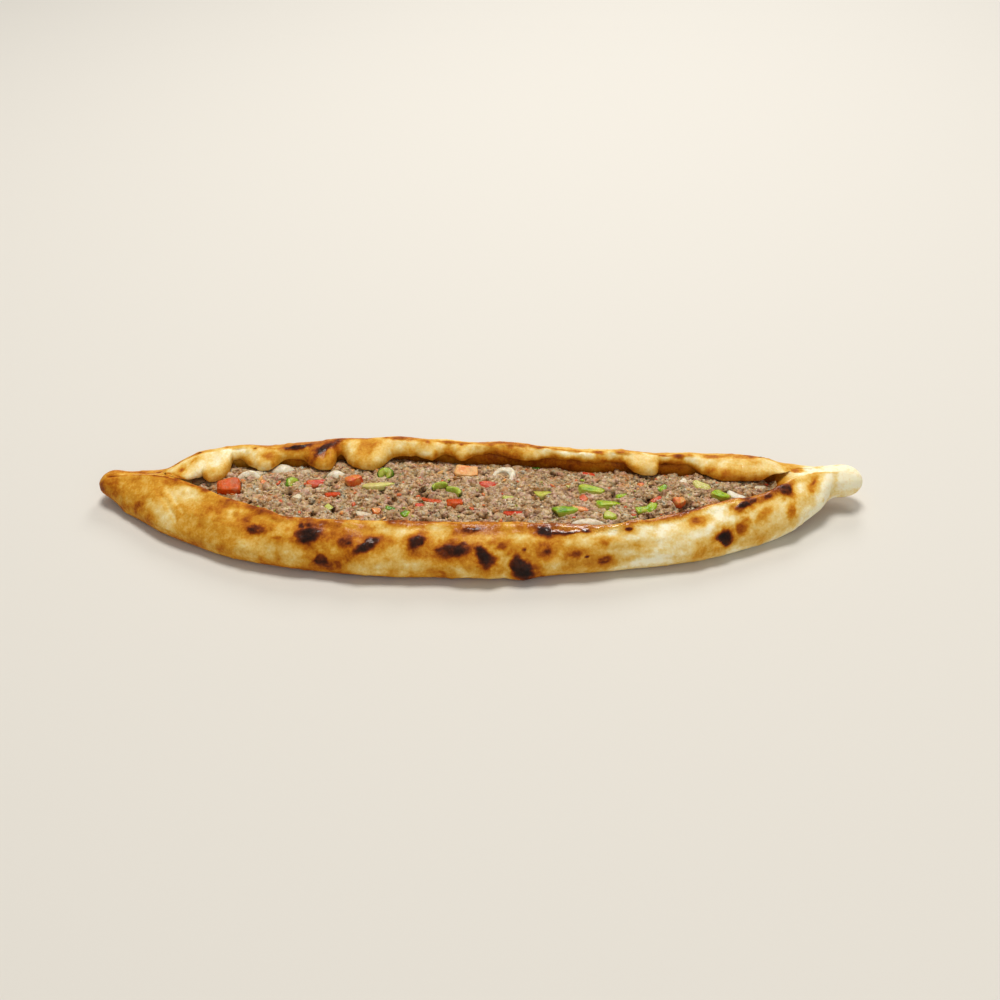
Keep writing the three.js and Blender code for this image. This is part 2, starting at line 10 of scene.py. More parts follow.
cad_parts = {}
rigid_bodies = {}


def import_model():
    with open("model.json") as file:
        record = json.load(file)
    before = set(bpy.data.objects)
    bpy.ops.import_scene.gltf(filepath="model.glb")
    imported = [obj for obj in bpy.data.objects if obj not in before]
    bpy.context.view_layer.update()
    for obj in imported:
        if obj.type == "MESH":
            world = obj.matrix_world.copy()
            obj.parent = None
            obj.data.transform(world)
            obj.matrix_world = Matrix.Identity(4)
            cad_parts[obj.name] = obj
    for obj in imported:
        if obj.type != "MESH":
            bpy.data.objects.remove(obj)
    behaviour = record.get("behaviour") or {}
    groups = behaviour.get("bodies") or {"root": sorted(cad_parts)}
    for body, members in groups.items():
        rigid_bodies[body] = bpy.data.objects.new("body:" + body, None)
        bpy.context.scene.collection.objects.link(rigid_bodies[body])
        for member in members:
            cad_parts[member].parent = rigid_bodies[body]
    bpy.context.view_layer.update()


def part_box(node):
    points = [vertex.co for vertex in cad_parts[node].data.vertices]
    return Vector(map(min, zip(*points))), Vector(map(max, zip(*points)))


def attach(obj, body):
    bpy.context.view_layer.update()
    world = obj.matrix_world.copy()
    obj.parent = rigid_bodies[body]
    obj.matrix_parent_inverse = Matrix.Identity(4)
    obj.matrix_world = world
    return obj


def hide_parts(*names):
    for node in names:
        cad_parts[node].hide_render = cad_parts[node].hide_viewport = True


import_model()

mm = 0.001
# the boat's own measures run from the line between its two tips, the frame from the middle of its outline
middleY = -21.082


def mix(a, b, t):
    return a + (b - a) * t


def smooth(t):
    # 0 up to t = 0, 1 from t = 1 on, and an even bend between them
    t = np.clip(t, 0, 1)
    return t * t * (3 - 2 * t)


def roundBell(t):
    return (1 - np.minimum(1, t * t)) ** 2


def hermite(a, b, slopeA, slopeB, t):
    # the curve from a to b that leaves and arrives with the given slopes
    return (a * (2 * t ** 3 - 3 * t ** 2 + 1) + b * (3 * t ** 2 - 2 * t ** 3)
            + slopeA * (t ** 3 - 2 * t ** 2 + t) + slopeB * (t ** 3 - t ** 2))


def rail(*stations):
    # a smooth curve through (x, value) stations that never overshoots them
    xs, vs = np.array(stations, float).T
    secants = np.diff(vs) / np.diff(xs)
    slopes = np.zeros(len(xs))
    slopes[0], slopes[-1] = secants[0], secants[-1]
    for i in range(1, len(xs) - 1):
        before, after = secants[i - 1], secants[i]
        slopes[i] = 0 if before * after <= 0 else 2 * before * after / (before + after)

    def value(x):
        x = np.clip(np.asarray(x, float), xs[0], xs[-1])
        i = np.clip(np.searchsorted(xs, x, side="right") - 1, 0, len(xs) - 2)
        span = xs[i + 1] - xs[i]
        return hermite(vs[i], vs[i + 1], span * slopes[i], span * slopes[i + 1], (x - xs[i]) / span)
    return value


# the fields of noise draw their values from this table
latticeSize = 4096
latticeValues = np.random.default_rng(11).random(latticeSize) * 2 - 1


def softNoise(points, size, seed):
    # a smooth random field from -1 to 1, with swells about size across
    spot = np.asarray(points, float) / size + seed * 7.31
    cell = np.floor(spot).astype(np.int64)
    part = smooth(spot - cell)
    total = 0
    for corner in range(8):
        step = np.array([corner & 1, corner >> 1 & 1, corner >> 2 & 1])
        c = cell + step
        pick = (c[..., 0] * 73856093 ^ c[..., 1] * 19349663 ^ c[..., 2] * 83492791) % latticeSize
        total = total + latticeValues[pick] * np.prod(np.where(step, part, 1 - part), axis=-1)
    return total


def layeredNoise(points, size, seed):
    # three layers of it, each half as large and half as strong as the one before
    return sum(softNoise(points, size / 2 ** k, seed + k) / 2 ** k for k in range(3)) / 1.5


def grainDistance(x, y, size, seed):
    # distance to the nearest grain's middle, in grain sizes: 0 on a grain's top, about 0.7 in the gaps
    nearest = np.full(np.shape(x), 9.0)
    column, row = np.floor(x / size).astype(np.int64), np.floor(y / size).astype(np.int64)
    for dx in (-1, 0, 1):
        for dy in (-1, 0, 1):
            a, b = column + dx, row + dy
            jitterX = latticeValues[(a * 7919 + b * 104729 + seed * 31) % latticeSize]
            jitterY = latticeValues[(a * 6151 + b * 92821 + seed * 57 + 5) % latticeSize]
            gap = np.hypot(a + 0.5 + 0.4 * jitterX - x / size, b + 0.5 + 0.4 * jitterY - y / size)
            nearest = np.minimum(nearest, gap)
    return nearest


def lumps(spot, size, seed):
    # rounded lumps pressed together, from 0 in the cracks between them to 1 on their tops
    warp = 0.3 * size
    x = spot[..., 0] + warp * layeredNoise(spot, 0.9 * size, seed + 40)
    y = spot[..., 1] + warp * layeredNoise(spot, 0.9 * size, seed + 60)
    return np.sqrt(1 - np.minimum(1, (grainDistance(x, y, size, seed) / 0.8) ** 2))


def gridNormals(grid):
    # outward normals of rings of points that turn clockwise, seen from +X
    alongX = np.gradient(grid, axis=0)
    alongRing = np.roll(grid, -1, axis=1) - np.roll(grid, 1, axis=1)
    normal = np.cross(alongX, alongRing)
    return normal / np.maximum(np.linalg.norm(normal, axis=-1, keepdims=True), 1e-9)


def skinOf(grid, startPoint, endPoint):
    # points and faces of a closed skin through rings of points, shut to a point at both ends
    rings, count = grid.shape[:2]
    points = np.vstack([grid.reshape(-1, 3), [startPoint], [endPoint]])
    start, end, last = rings * count, rings * count + 1, (rings - 1) * count
    around = [(i, (i + 1) % count) for i in range(count)]
    faces = [(r * count + i, (r + 1) * count + i, (r + 1) * count + j, r * count + j)
             for r in range(rings - 1) for i, j in around]
    for i, j in around:
        faces.append((start, i, j))
        faces.append((end, last + j, last + i))
    return points, faces


def closedSkin(name, grid, startPoint, endPoint, material, fields):
    # a field's value at each end point is that of the nearest corner of the grid
    points, faces = skinOf(grid, startPoint, endPoint)
    flat = {key: np.ravel(values) for key, values in fields.items()}
    padded = {key: np.append(values, [values[0], values[-1]]) for key, values in flat.items()}
    return meshObject(name, points, faces, material, padded)


def cornerNormals(points, faces):
    # each corner of each face, and the cross product of the two edges that leave it
    loops = np.concatenate([np.array(f) for f in faces])
    ahead = np.concatenate([np.roll(f, -1) for f in faces])
    behind = np.concatenate([np.roll(f, 1) for f in faces])
    return loops, np.cross(points[ahead] - points[loops], points[behind] - points[loops])


def outward(points, faces):
    # the same faces, turned round if the skin is inside out
    loops, crosses = cornerNormals(points, faces)
    inside = np.sum((points[loops] - points.mean(axis=0)) * crosses) < 0
    return [tuple(reversed(f)) for f in faces] if inside else faces


def pointNormals(points, faces):
    loops, crosses = cornerNormals(points, faces)
    normal = np.zeros_like(points)
    np.add.at(normal, loops, crosses)
    return normal / np.maximum(np.linalg.norm(normal, axis=1, keepdims=True), 1e-9)


def pointsOf(shape):
    # points and faces of a bmesh, which is let go
    points = np.array([v.co[:] for v in shape.verts])
    faces = [tuple(v.index for v in f.verts) for f in shape.faces]
    shape.free()
    return points, faces


def newMesh(name, points, faces):
    # sizes come in millimetres
    mesh = bpy.data.meshes.new(name)
    mesh.from_pydata((np.asarray(points, float) * mm).tolist(), [], faces)
    mesh.polygons.foreach_set("use_smooth", [True] * len(mesh.polygons))
    return mesh


def newObject(name, data):
    thing = bpy.data.objects.new(name, data)
    bpy.context.scene.collection.objects.link(thing)
    return thing


def meshObject(name, points, faces, material, fields):
    # points come measured from the line between the boat's two tips
    mesh = newMesh(name, np.asarray(points, float) - np.array([0, middleY, 0]), faces)
    for key, values in fields.items():
        layer = mesh.attributes.new(key, "FLOAT", "POINT")
        layer.data.foreach_set("value", np.asarray(values, np.float32))
    mesh.materials.append(material)
    mesh.update()
    return newObject(name, mesh)


def kept(piece, slot, *nodes):
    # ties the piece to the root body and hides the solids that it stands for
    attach(piece, "root")
    if nodes:
        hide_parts(*nodes)
    return piece


def fill(node, inputs):
    # each input gets a plain value or what another node puts out
    for key, value in inputs.items():
        if isinstance(value, bpy.types.NodeSocket):
            node.id_data.links.new(value, node.inputs[key])
        else:
            node.inputs[key].default_value = value


def addNode(tree, kind, inputs, **settings):
    node = tree.nodes.new(kind)
    for key, value in settings.items():
        setattr(node, key, value)
    fill(node, inputs)
    return node


def newMaterial(name):
    material = bpy.data.materials.new(name)
    material.use_nodes = True
    tree = material.node_tree
    return material, tree, next(n for n in tree.nodes if n.type == "BSDF_PRINCIPLED")


def linear(colour):
    # paint-box colours, 0 to 255, as the shader wants them
    out = [c / 255 / 12.92 if c / 255 <= 0.04045 else ((c / 255 + 0.055) / 1.055) ** 2.4 for c in colour]
    return (*out, 1)


def rampNode(tree, share, stops):
    node = addNode(tree, "ShaderNodeValToRGB", {"Fac": share})
    ramp = node.color_ramp
    while len(ramp.elements) < len(stops):
        ramp.elements.new(0.5)
    for element, (place, colour) in zip(ramp.elements, stops):
        element.position = place
        element.color = linear(colour)
    return node.outputs["Color"]


def noiseNode(tree, coords, scale, detail=3, rough=0.6):
    inputs = {"Vector": coords, "Scale": scale, "Detail": detail, "Roughness": rough}
    return addNode(tree, "ShaderNodeTexNoise", inputs).outputs["Fac"]


def mathNode(tree, operation, a, b, clamp=False):
    return addNode(tree, "ShaderNodeMath", {0: a, 1: b}, operation=operation, use_clamp=clamp).outputs[0]


def rangeNode(tree, value, low, high, toLow, toHigh):
    inputs = {"Value": value, "From Min": low, "From Max": high, "To Min": toLow, "To Max": toHigh}
    return addNode(tree, "ShaderNodeMapRange", inputs).outputs["Result"]


def spreadNode(tree, noise, low, high):
    # noise hardly leaves 0.3 to 0.7, and this stretches it from low to high
    return rangeNode(tree, noise, 0.3, 0.7, low, high)


def mixNode(tree, share, a, b, blend="MIX"):
    node = addNode(tree, "ShaderNodeMix", {}, data_type="RGBA", blend_type=blend)
    fill(node, {0: share, 6: a, 7: b})
    return node.outputs[2]


def fieldNode(tree, name):
    return addNode(tree, "ShaderNodeAttribute", {}, attribute_name=name).outputs["Fac"]


def coordsNode(tree):
    return addNode(tree, "ShaderNodeTexCoord", {}).outputs["Object"]


def bumpNode(tree, height, depth, strength, under=None):
    inputs = {"Distance": depth, "Strength": strength, "Height": height}
    if under is not None:
        inputs["Normal"] = under
    return addNode(tree, "ShaderNodeBump", inputs).outputs["Normal"]


def softLight(weight, radius, scale):
    # light that wanders under the surface, as it does in dough and in cooked flesh
    return {"Subsurface Weight": weight, "Subsurface Radius": radius, "Subsurface Scale": scale}


# from raw-looking dough to charcoal; the painted shade in the trough and under the lip takes its colours
# from here too
bakeColours = [
    (0.00, (250, 243, 212)), (0.12, (238, 216, 154)), (0.24, (228, 188, 98)), (0.36, (210, 150, 42)),
    (0.48, (184, 108, 10)), (0.59, (144, 68, 4)), (0.70, (98, 38, 3)), (0.80, (62, 23, 3)),
    (0.90, (40, 15, 4)), (1.00, (25, 11, 6)),
]


def bakedDoughMaterial():
    material, tree, shader = newMaterial("bakedDough")
    coords, bakeAndShade, oil = coordsNode(tree), fieldNode(tree, "bakeAndShade"), fieldNode(tree, "oil")
    cloud = noiseNode(tree, coords, 190, 4, 0.62)
    fine = noiseNode(tree, coords, 700, 4, 0.62)
    bead = noiseNode(tree, coords, 950, 1, 0.5)
    uneven = mathNode(tree, "ADD", spreadNode(tree, cloud, -0.07, 0.07),
                      spreadNode(tree, fine, -0.05, 0.05))
    tone = mathNode(tree, "ADD", bakeAndShade, uneven, clamp=True)
    # the dough is dull, and the fat on it shines in beads and patches
    beads = rangeNode(tree, bead, 0.46, 0.66, 0.0, 1.0)
    wet = mathNode(tree, "MULTIPLY", oil, rangeNode(tree, bead, 0.35, 0.6, 0.35, 1.0), clamp=True)
    pores = bumpNode(tree, fine, 0.0003, 0.6)
    drops = bumpNode(tree, mathNode(tree, "MULTIPLY", beads, oil), 0.0006, 0.8, pores)
    fill(shader, {
        "Base Color": rampNode(tree, tone, bakeColours),
        "Roughness": rangeNode(tree, fine, 0.3, 0.75, 0.55, 0.75),
        "Coat Weight": wet, "Coat Roughness": 0.13, "Specular IOR Level": 0.12, "Normal": drops,
        **softLight(0.12, (1.0, 0.5, 0.2), 0.003),
    })
    return material


# the meat from the painted shade of its cracks and hollows at the dark end to its palest crumbs
meatColours = [
    (0.0, (46, 24, 10)), (0.16, (110, 80, 52)), (0.36, (164, 138, 108)), (0.65, (192, 173, 148)),
    (1.0, (230, 222, 206)),
]
# pink, tan and greyish crumbs side by side
meatTints = [
    (0.3, (255, 206, 196)), (0.43, (250, 234, 226)), (0.54, (252, 232, 184)), (0.62, (240, 242, 234)),
    (0.72, (222, 242, 250)),
]
fatColour = (196, 124, 46)


def minceMaterial():
    material, tree, shader = newMaterial("cookedMince")
    coords, tone = coordsNode(tree), fieldNode(tree, "tone")
    mottle = noiseNode(tree, coords, 430)
    hue = noiseNode(tree, coords, 230)
    fine = noiseNode(tree, coords, 1500)
    patch = noiseNode(tree, coords, 120, 4, 0.65)
    shade = mathNode(tree, "ADD", mathNode(tree, "MULTIPLY", tone, 0.75),
                     spreadNode(tree, mottle, -0.1, 0.36), clamp=True)
    colour, tint = rampNode(tree, shade, meatColours), rampNode(tree, hue, meatTints)
    tinted = mixNode(tree, 1.0, colour, tint, "MULTIPLY")
    # it is orange where the fat has run, and juice glints on it in small spots
    fat = rangeNode(tree, patch, 0.54, 0.66, 0.0, 0.62)
    fill(shader, {
        "Base Color": mixNode(tree, fat, tinted, linear(fatColour)),
        "Roughness": spreadNode(tree, fine, 0.2, 0.55),
        "Coat Weight": rangeNode(tree, fine, 0.52, 0.66, 0.0, 0.7), "Coat Roughness": 0.16,
        "Specular IOR Level": 0.28, "Normal": bumpNode(tree, fine, 0.0005, 0.8),
        **softLight(0.35, (1.0, 0.5, 0.35), 0.002),
    })
    return material


# each vegetable's colours from dark pieces to pale ones, its roughness where it is glossiest and where it
# is dullest, and how fine its fibres are
leafColours = [(0.0, (20, 38, 6)), (0.5, (40, 68, 14)), (1.0, (82, 108, 36))]
vegetableLooks = {
    "cookedTomato": dict(
        skin=[(0.0, (168, 52, 0)), (0.2, (200, 72, 2)), (0.4, (196, 48, 8)), (0.6, (200, 66, 38)),
              (0.8, (208, 100, 34)), (1.0, (214, 144, 76))],
        flesh=[(0.0, (184, 72, 2)), (0.2, (210, 92, 8)), (0.4, (206, 72, 20)), (0.6, (210, 100, 64)),
               (0.8, (218, 132, 58)), (1.0, (222, 170, 104))],
        gloss=(0.1, 0.34), fibre=1200),
    "cookedPepper": dict(
        skin=[(0.0, (30, 60, 2)), (0.2, (52, 94, 4)), (0.4, (92, 146, 6)), (0.6, (142, 174, 18)),
              (0.8, (170, 184, 52)), (1.0, (196, 190, 92))],
        flesh=[(0.0, (146, 168, 48)), (0.3, (160, 178, 56)), (0.6, (172, 184, 68)), (1.0, (206, 198, 120))],
        gloss=(0.08, 0.32), fibre=900),
    "cookedOnion": dict(
        skin=[(0.0, (196, 156, 104)), (0.4, (212, 194, 158)), (0.7, (222, 212, 186)),
              (1.0, (236, 230, 212))],
        flesh=[(0.0, (186, 142, 90)), (0.4, (204, 184, 148)), (0.7, (216, 204, 176)),
               (1.0, (230, 224, 204))],
        gloss=(0.12, 0.34), fibre=700),
    "choppedHerb": dict(skin=leafColours, flesh=leafColours, gloss=(0.3, 0.6), fibre=900),
}
stainColour = (178, 128, 84)


def vegetableMaterial(name):
    # the skin field is 1 on the skin side of a cut piece, and tone sorts the pieces from dark to pale
    look = vegetableLooks[name]
    material, tree, shader = newMaterial(name)
    coords, skin, tone = coordsNode(tree), fieldNode(tree, "skin"), fieldNode(tree, "tone")
    mottle = noiseNode(tree, coords, 420, 4, 0.65)
    fine = noiseNode(tree, coords, look["fibre"])
    shade = mathNode(tree, "ADD", tone, spreadNode(tree, mottle, -0.2, 0.2), clamp=True)
    ragged = mathNode(tree, "ADD", skin, spreadNode(tree, fine, -0.16, 0.16))
    edge = spreadNode(tree, ragged, 0.0, 1.0)
    colour = mixNode(tree, edge, rampNode(tree, shade, look["flesh"]), rampNode(tree, shade, look["skin"]))
    # cooked edges and meat juice stain it here and there
    stain = rangeNode(tree, noiseNode(tree, coords, 260, 4, 0.7), 0.5, 0.72, 0.0, 0.6)
    fill(shader, {
        "Base Color": mixNode(tree, stain, colour, linear(stainColour)),
        "Roughness": spreadNode(tree, fine, *look["gloss"]),
        "Specular IOR Level": 0.25, "Normal": bumpNode(tree, fine, 0.0004, 0.8),
        **softLight(0.3, (1.0, 0.7, 0.35), 0.0025),
    })
    return material


doughSkin, mince = bakedDoughMaterial(), minceMaterial()
tomatoFlesh, pepperFlesh, onionFlesh, herbLeaf = (vegetableMaterial(name) for name in vegetableLooks)
print("materials ready")


# what the dough's shape and browning hang on, all in millimetres along the boat, across it and up
dough = {
    "halfLength": 230.0,
    "baseThickness": 5.0,
    # where the two rims part and close again, and over what length
    "opening": dict(start=-192, startRun=34, end=190, endRun=26),
    "ringStep": 0.8,
    # points between each of a section's corners and the next: many where the eye goes, few underneath
    "cornerSteps": [5, 5, 5, 6, 12, 10, 7, 5, 4, 3, 2, 3, 3, 3, 8, 5, 4, 4, 5, 7, 6, 9, 9, 6, 5, 4, 5, 5],
    # the two closed ends turn into round knobs
    "tips": {
        "left": dict(
            y=-1.0, z=9.8, halfWidth=10.0, halfHeight=8.6, roundLength=12.0, turnsRoundFrom=210.0),
        "right": dict(
            y=0.0, z=14.6, halfWidth=10.0, halfHeight=9.7, roundLength=13.0, turnsRoundFrom=203.0),
    },
    # the boat's long lines: how far across each one runs, or how high for the underside and the crests' Z
    "lines": {
        "frontBulge": rail(
            (-230, -10), (-215, -19), (-197, -31), (-180, -42.5), (-160, -53.5), (-130, -66),
            (-90, -74.5), (-40, -79.5), (0, -80), (28, -79.2), (50, -76.8), (72, -73.6), (118, -65.6),
            (153, -53.2), (180, -39.4), (200, -24.5), (213, -12), (230, -9)),
        "frontCrest": rail(
            (-230, -3), (-205, -5), (-188, -9), (-167, -20), (-144, -34), (-118, -46), (-104, -53),
            (-60, -56.5), (38, -58), (72, -59), (95, -54), (118, -46), (141, -36.5), (165, -28.5),
            (178, -20), (188, -11), (205, -4), (230, -3)),
        "frontCrestZ": rail(
            (-230, 18), (-205, 20), (-180, 23), (-110, 25), (30, 25.5), (150, 24.5), (186, 25), (200, 23),
            (212, 23.5), (230, 24)),
        "backCrest": rail(
            (-230, 3), (-205, 1), (-192, 0), (-184, 2), (-177, 6), (-165, 12), (-140, 16), (-112, 16.5),
            (-84, 23), (-58, 26), (-30, 23), (10, 20.5), (40, 18), (62, 14), (100, 11.5), (145, 8.8),
            (172, 8.6), (184, 3), (205, 3), (230, 3)),
        "backCrestZ": rail(
            (-230, 16), (-205, 16.5), (-192, 18), (-183, 21.5), (-165, 25), (-60, 26.5), (60, 25.5),
            (165, 25.5), (176, 25), (188, 22), (200, 21), (212, 22.5), (230, 24)),
        "backBulge": rail(
            (-230, 9), (-205, 12), (-190, 15), (-178, 21), (-155, 29), (-120, 33.5), (-85, 37.2),
            (-55, 38.6), (-20, 37.2), (20, 34), (62, 29.5), (100, 26.5), (150, 24), (172, 21.5),
            (190, 16), (208, 11), (230, 10)),
        "underside": rail((-230, 1.5), (-205, 1), (-185, 0), (172, 0), (190, 3.5), (205, 7), (230, 7.5)),
    },
    # the back rim's folded lip sags over the meat in lobes: how far it comes in from the crest along the
    # boat, and how low its edge hangs there
    "lip": {"reach": 2.6, "highZ": 20.4, "lowZ": 17.0, "sags": 6.0},
    "lipReach": rail(
        (-197, 3), (-188, 10), (-178, 17.5), (-171, 18.5), (-166.5, 17), (-164.6, 14.5), (-162.6, 19),
        (-158.5, 23), (-154.5, 22), (-151, 17), (-149, 6), (-146, 5.5), (-138, 10), (-130, 13.6),
        (-125, 12.6), (-119, 7.5), (-113, 4.8), (-106, 6.5), (-99, 13), (-93, 17), (-88.5, 17.8),
        (-86.2, 8), (-84, 6), (-80, 9.5), (-75.5, 16.5), (-69, 21), (-64, 22), (-59, 19), (-54, 12),
        (-49, 8.3), (-42, 7.4), (-34, 8.4), (-28, 10.4), (-23, 7), (-18, 5.8), (-14, 7), (-9.5, 9.2),
        (-4, 7.4), (2, 4.4), (8, 3.6), (14, 4.4), (21, 5.9), (32, 6.6), (41, 5.2), (52, 4), (62, 4.5),
        (75, 4.2), (87, 4.4), (92, 8), (95.5, 11), (101, 11.6), (107, 10), (110.5, 4.8), (118, 3.4),
        (126, 3.8), (131, 6.8), (142, 11.8), (151, 13.8), (163, 14), (173, 12.3), (179.5, 8), (186, 4.5),
        (200, 3)),
    # big blisters, as the solid crust has them: place along the boat, share of the way up the wall, radius
    # and rise
    "blisters": [
        (-127, 0.48, 8, 1.2), (-86, 0.7, 9, 1.3), (-62, 0.55, 10, 1.3), (-29, 0.68, 8, 1.1),
        (-3, 0.48, 10, 1.2), (11, 0.38, 9, 1.4), (29, 0.2, 11, 1.5), (44, 0.45, 8, 1.0),
        (141, 0.38, 8, 1.4), (152, 0.86, 7, 1.1), (179, 0.88, 7, 1.1), (182, 0.5, 8, 1.0),
    ],
    # small blisters all over the baked skin, and how much paler or browner their tops are
    "fineBlisters": dict(count=340, least=1.7, most=3.4, rise=0.14, pale=-0.05, brown=0.15, seed=31),
    # places where the dough stayed pale: where seen from above, half length, half width and browning
    "palePatches": [(-173.5, -1, 13, 11, 0.08)],
    # where beads of fat stand on the pinched left end: where seen from above, half length and half width
    "fatBeads": [(-202, -4, 16, 6), (-166, -8, 12, 9)],
    # where one flap of dough lies over another at the closed ends, and floury wrinkles: points along the
    # fold seen from above, how deep and wide it is, and its browning
    "creases": [
        dict(path=[(-222, -4), (-208, -4), (-196, -4.8), (-185, -5.2), (-176, -10), (-164, -15)],
             deep=0.9, wide=1.2, tone=0.6),
        dict(path=[(-192, -1), (-186, 4), (-180, 9)], deep=0.6, wide=1.2, tone=0.42),
        dict(path=[(-187, -22), (-179, -32), (-172, -43)], deep=0.45, wide=1.0, tone=0.12),
        dict(path=[(-182, -20), (-175, -30), (-168, -40)], deep=0.35, wide=0.9, tone=0.16),
        dict(path=[(-190, -25), (-183, -34), (-176, -43)], deep=0, wide=4.2, tone=0.1),
        dict(path=[(179, -12), (185, -9), (190, -8.5), (195.5, -5), (202, -2)],
             deep=0.6, wide=1.8, tone=0.22),
        dict(path=[(212.5, -6), (211, -12)], deep=0.7, wide=2.6, tone=0.14),
    ],
    # browning along the boat, with painted shade mixed in: 0 is raw-looking dough, 0.4 gold, 0.6 brown, 1
    # charcoal
    "browningAndShade": {
        "middle": rail(
            (-230, 0.44), (-205, 0.42), (-188, 0.33), (-172, 0.27), (-158, 0.27), (-140, 0.32),
            (-118, 0.35), (-95, 0.31), (-70, 0.29), (-40, 0.18), (-15, 0.26), (10, 0.21), (22, 0.15),
            (45, 0.2), (60, 0.18), (80, 0.1), (100, 0.1), (118, 0.1), (135, 0.1), (150, 0.07),
            (170, 0.03), (185, 0), (198, 0), (230, 0.03)),
        "frontCrest": rail(
            (-225, 0.4), (-190, 0.36), (-178, 0.48), (-165, 0.44), (-150, 0.46), (-138, 0.5),
            (-120, 0.48), (-92, 0.46), (-75, 0.42), (-60, 0.43), (-30, 0.48), (0, 0.45), (15, 0.38),
            (40, 0.46), (62, 0.43), (76, 0.33), (100, 0.44), (125, 0.53), (150, 0.53), (170, 0.5),
            (182, 0.46), (190, 0.22), (200, 0.1), (230, 0.05)),
        # the wall's foot: browned on the baking stone, and darker still as painted shade by the table
        "tableEdge": rail(
            (-230, 0.48), (-200, 0.46), (-150, 0.46), (-110, 0.54), (-80, 0.58), (-50, 0.54), (0, 0.52),
            (40, 0.51), (70, 0.35), (95, 0.27), (125, 0.2), (150, 0.08), (175, 0.02), (190, 0.03),
            (230, 0.05)),
        "backCrest": rail(
            (-230, 0.5), (-190, 0.5), (-170, 0.36), (-140, 0.28), (-118, 0.36), (-106, 0.46), (-90, 0.5),
            (-70, 0.44), (-30, 0.5), (20, 0.47), (80, 0.5), (120, 0.52), (150, 0.42), (175, 0.38),
            (188, 0.2), (200, 0.1), (230, 0.05)),
        "backFace": rail(
            (-230, 0.36), (-190, 0.26), (-176, 0.2), (-165, 0.17), (-150, 0.13), (-138, 0.05),
            (-120, 0.08), (-106, 0.16), (-92, 0.22), (-80, 0.14), (-66, 0.18), (-54, 0.08), (-36, 0.14),
            (-10, 0.18), (10, 0.2), (30, 0.14), (60, 0.1), (90, 0.1), (112, 0.1), (130, 0.13), (150, 0.2),
            (172, 0.22), (190, 0.12), (230, 0.03)),
        # the lip's lower face: browner dough, and painted shade where the lip curls under
        "backLow": rail(
            (-230, 0.4), (-176, 0.18), (-150, 0.2), (-138, 0.2), (-120, 0.16), (-100, 0.24), (-88, 0.2),
            (-64, 0.26), (-50, 0.26), (-30, 0.38), (20, 0.36), (60, 0.36), (90, 0.3), (105, 0.22),
            (118, 0.24), (135, 0.34), (172, 0.42), (190, 0.25), (230, 0.04)),
        # the trough's walls and the lip's underside: browned by the fat, and darker as painted shade under
        # the lip
        "trough": rail(
            (-230, 0.3), (-180, 0.36), (-130, 0.42), (-90, 0.47), (-40, 0.51), (10, 0.53), (60, 0.55),
            (130, 0.52), (230, 0.44)),
    },
    # scorch marks on the front wall: place along the boat, height up the wall from the table edge, half
    # length, half height, tilt in degrees, browning at the core
    "wallMarks": [
        (-217, 13.6, 5, 4, 40, 0.56), (-188, 27.8, 3.8, 3.3, 30, 0.44), (-189, 34, 6, 1.6, 62, 0.42),
        (-200, 21.8, 3.1, 2.4, 28, 0.42), (-178, 46, 2.9, 1.8, 29, 0.66), (-184, 40, 5, 2, 30, 0.52),
        (-146.8, 21.2, 5.2, 3, 15, 0.42), (-139, 43, 5, 1.8, 27, 0.55),
        (-128.6, 32.9, 2.9, 2.8, 12, 0.62), (-121.7, 28.2, 4.4, 2.5, 15, 0.84),
        (-107.9, 25.4, 3, 1.5, 11, 0.62), (-90.6, 29.6, 6.3, 4.3, 10, 0.96),
        (-89, 36.4, 4.6, 1.7, -2, 0.78), (-95, 34.5, 1.8, 3.6, 12, 0.72), (-83, 15.7, 5, 4, 11, 0.84),
        (-73.3, 15.6, 2.4, 2.8, 8, 0.7), (-69, 28.7, 4.4, 3.3, 2, 0.72), (-57.5, 26, 7, 3, 25, 0.93),
        (-28.2, 29.6, 4.2, 3.2, 5, 0.88), (-8.6, 24.9, 8.6, 2.9, 0, 0.9), (-4.2, 28.2, 2.6, 1.8, 0, 0.76),
        (-13.9, 12.2, 2.5, 1.4, 3, 0.62), (8, 22.2, 7.2, 4.2, -48, 0.96), (17.7, 28.1, 3, 1.9, 9, 0.66),
        (28.6, 14.8, 8.2, 4.9, -45, 0.98), (30.5, 25.1, 1.1, 0.9, 0, 0.8), (42, 25.5, 4, 4.2, -7, 0.6),
        (42, 23.2, 2.8, 2, -5, 0.74), (59.5, 20.3, 3.2, 2.2, -3, 0.7), (64.7, 18.8, 1.1, 0.8, 0, 0.88),
        (74.8, 15.4, 3.8, 1.9, -8, 0.72), (75.2, 25.4, 3.4, 1.7, -14, 0.58),
        (127.4, 32.5, 3.8, 2.8, -10, 0.58), (132.8, 13.8, 6, 3, -13, 0.34),
        (142.4, 17.9, 4.5, 3.6, -14, 0.98), (152.5, 20.9, 3.2, 2.9, 34, 0.68),
        (163, 11.8, 5.4, 3.6, 0, 0.36), (166.8, 24.3, 4.6, 3.4, 2, 0.5),
        (181.8, 18.1, 3.2, 4.6, -29, 0.56), (197.2, 24.9, 6.2, 3.1, 66, 0.48),
        (197.6, 25.6, 2, 2, 66, 0.64), (0.4, 37.8, 5.6, 1.6, 2, 0.86), (40.7, 35.9, 4, 2.4, -14, 0.98),
        (49, 34.3, 4.6, 1.1, -9, 0.84), (57.5, 33.3, 4.2, 0.9, 3, 0.8), (64.8, 33.7, 3, 1, -14, 0.86),
        (88.1, 31.5, 2.2, 1.3, -5, 0.74), (153.5, 33.4, 4.9, 2.5, 1, 0.92),
        (159.9, 35.3, 1.8, 1.6, -13, 0.85), (169.2, 35.1, 2.4, 1.4, -9, 0.76),
        (180, 33, 5.4, 2.2, -53, 0.86),
    ],
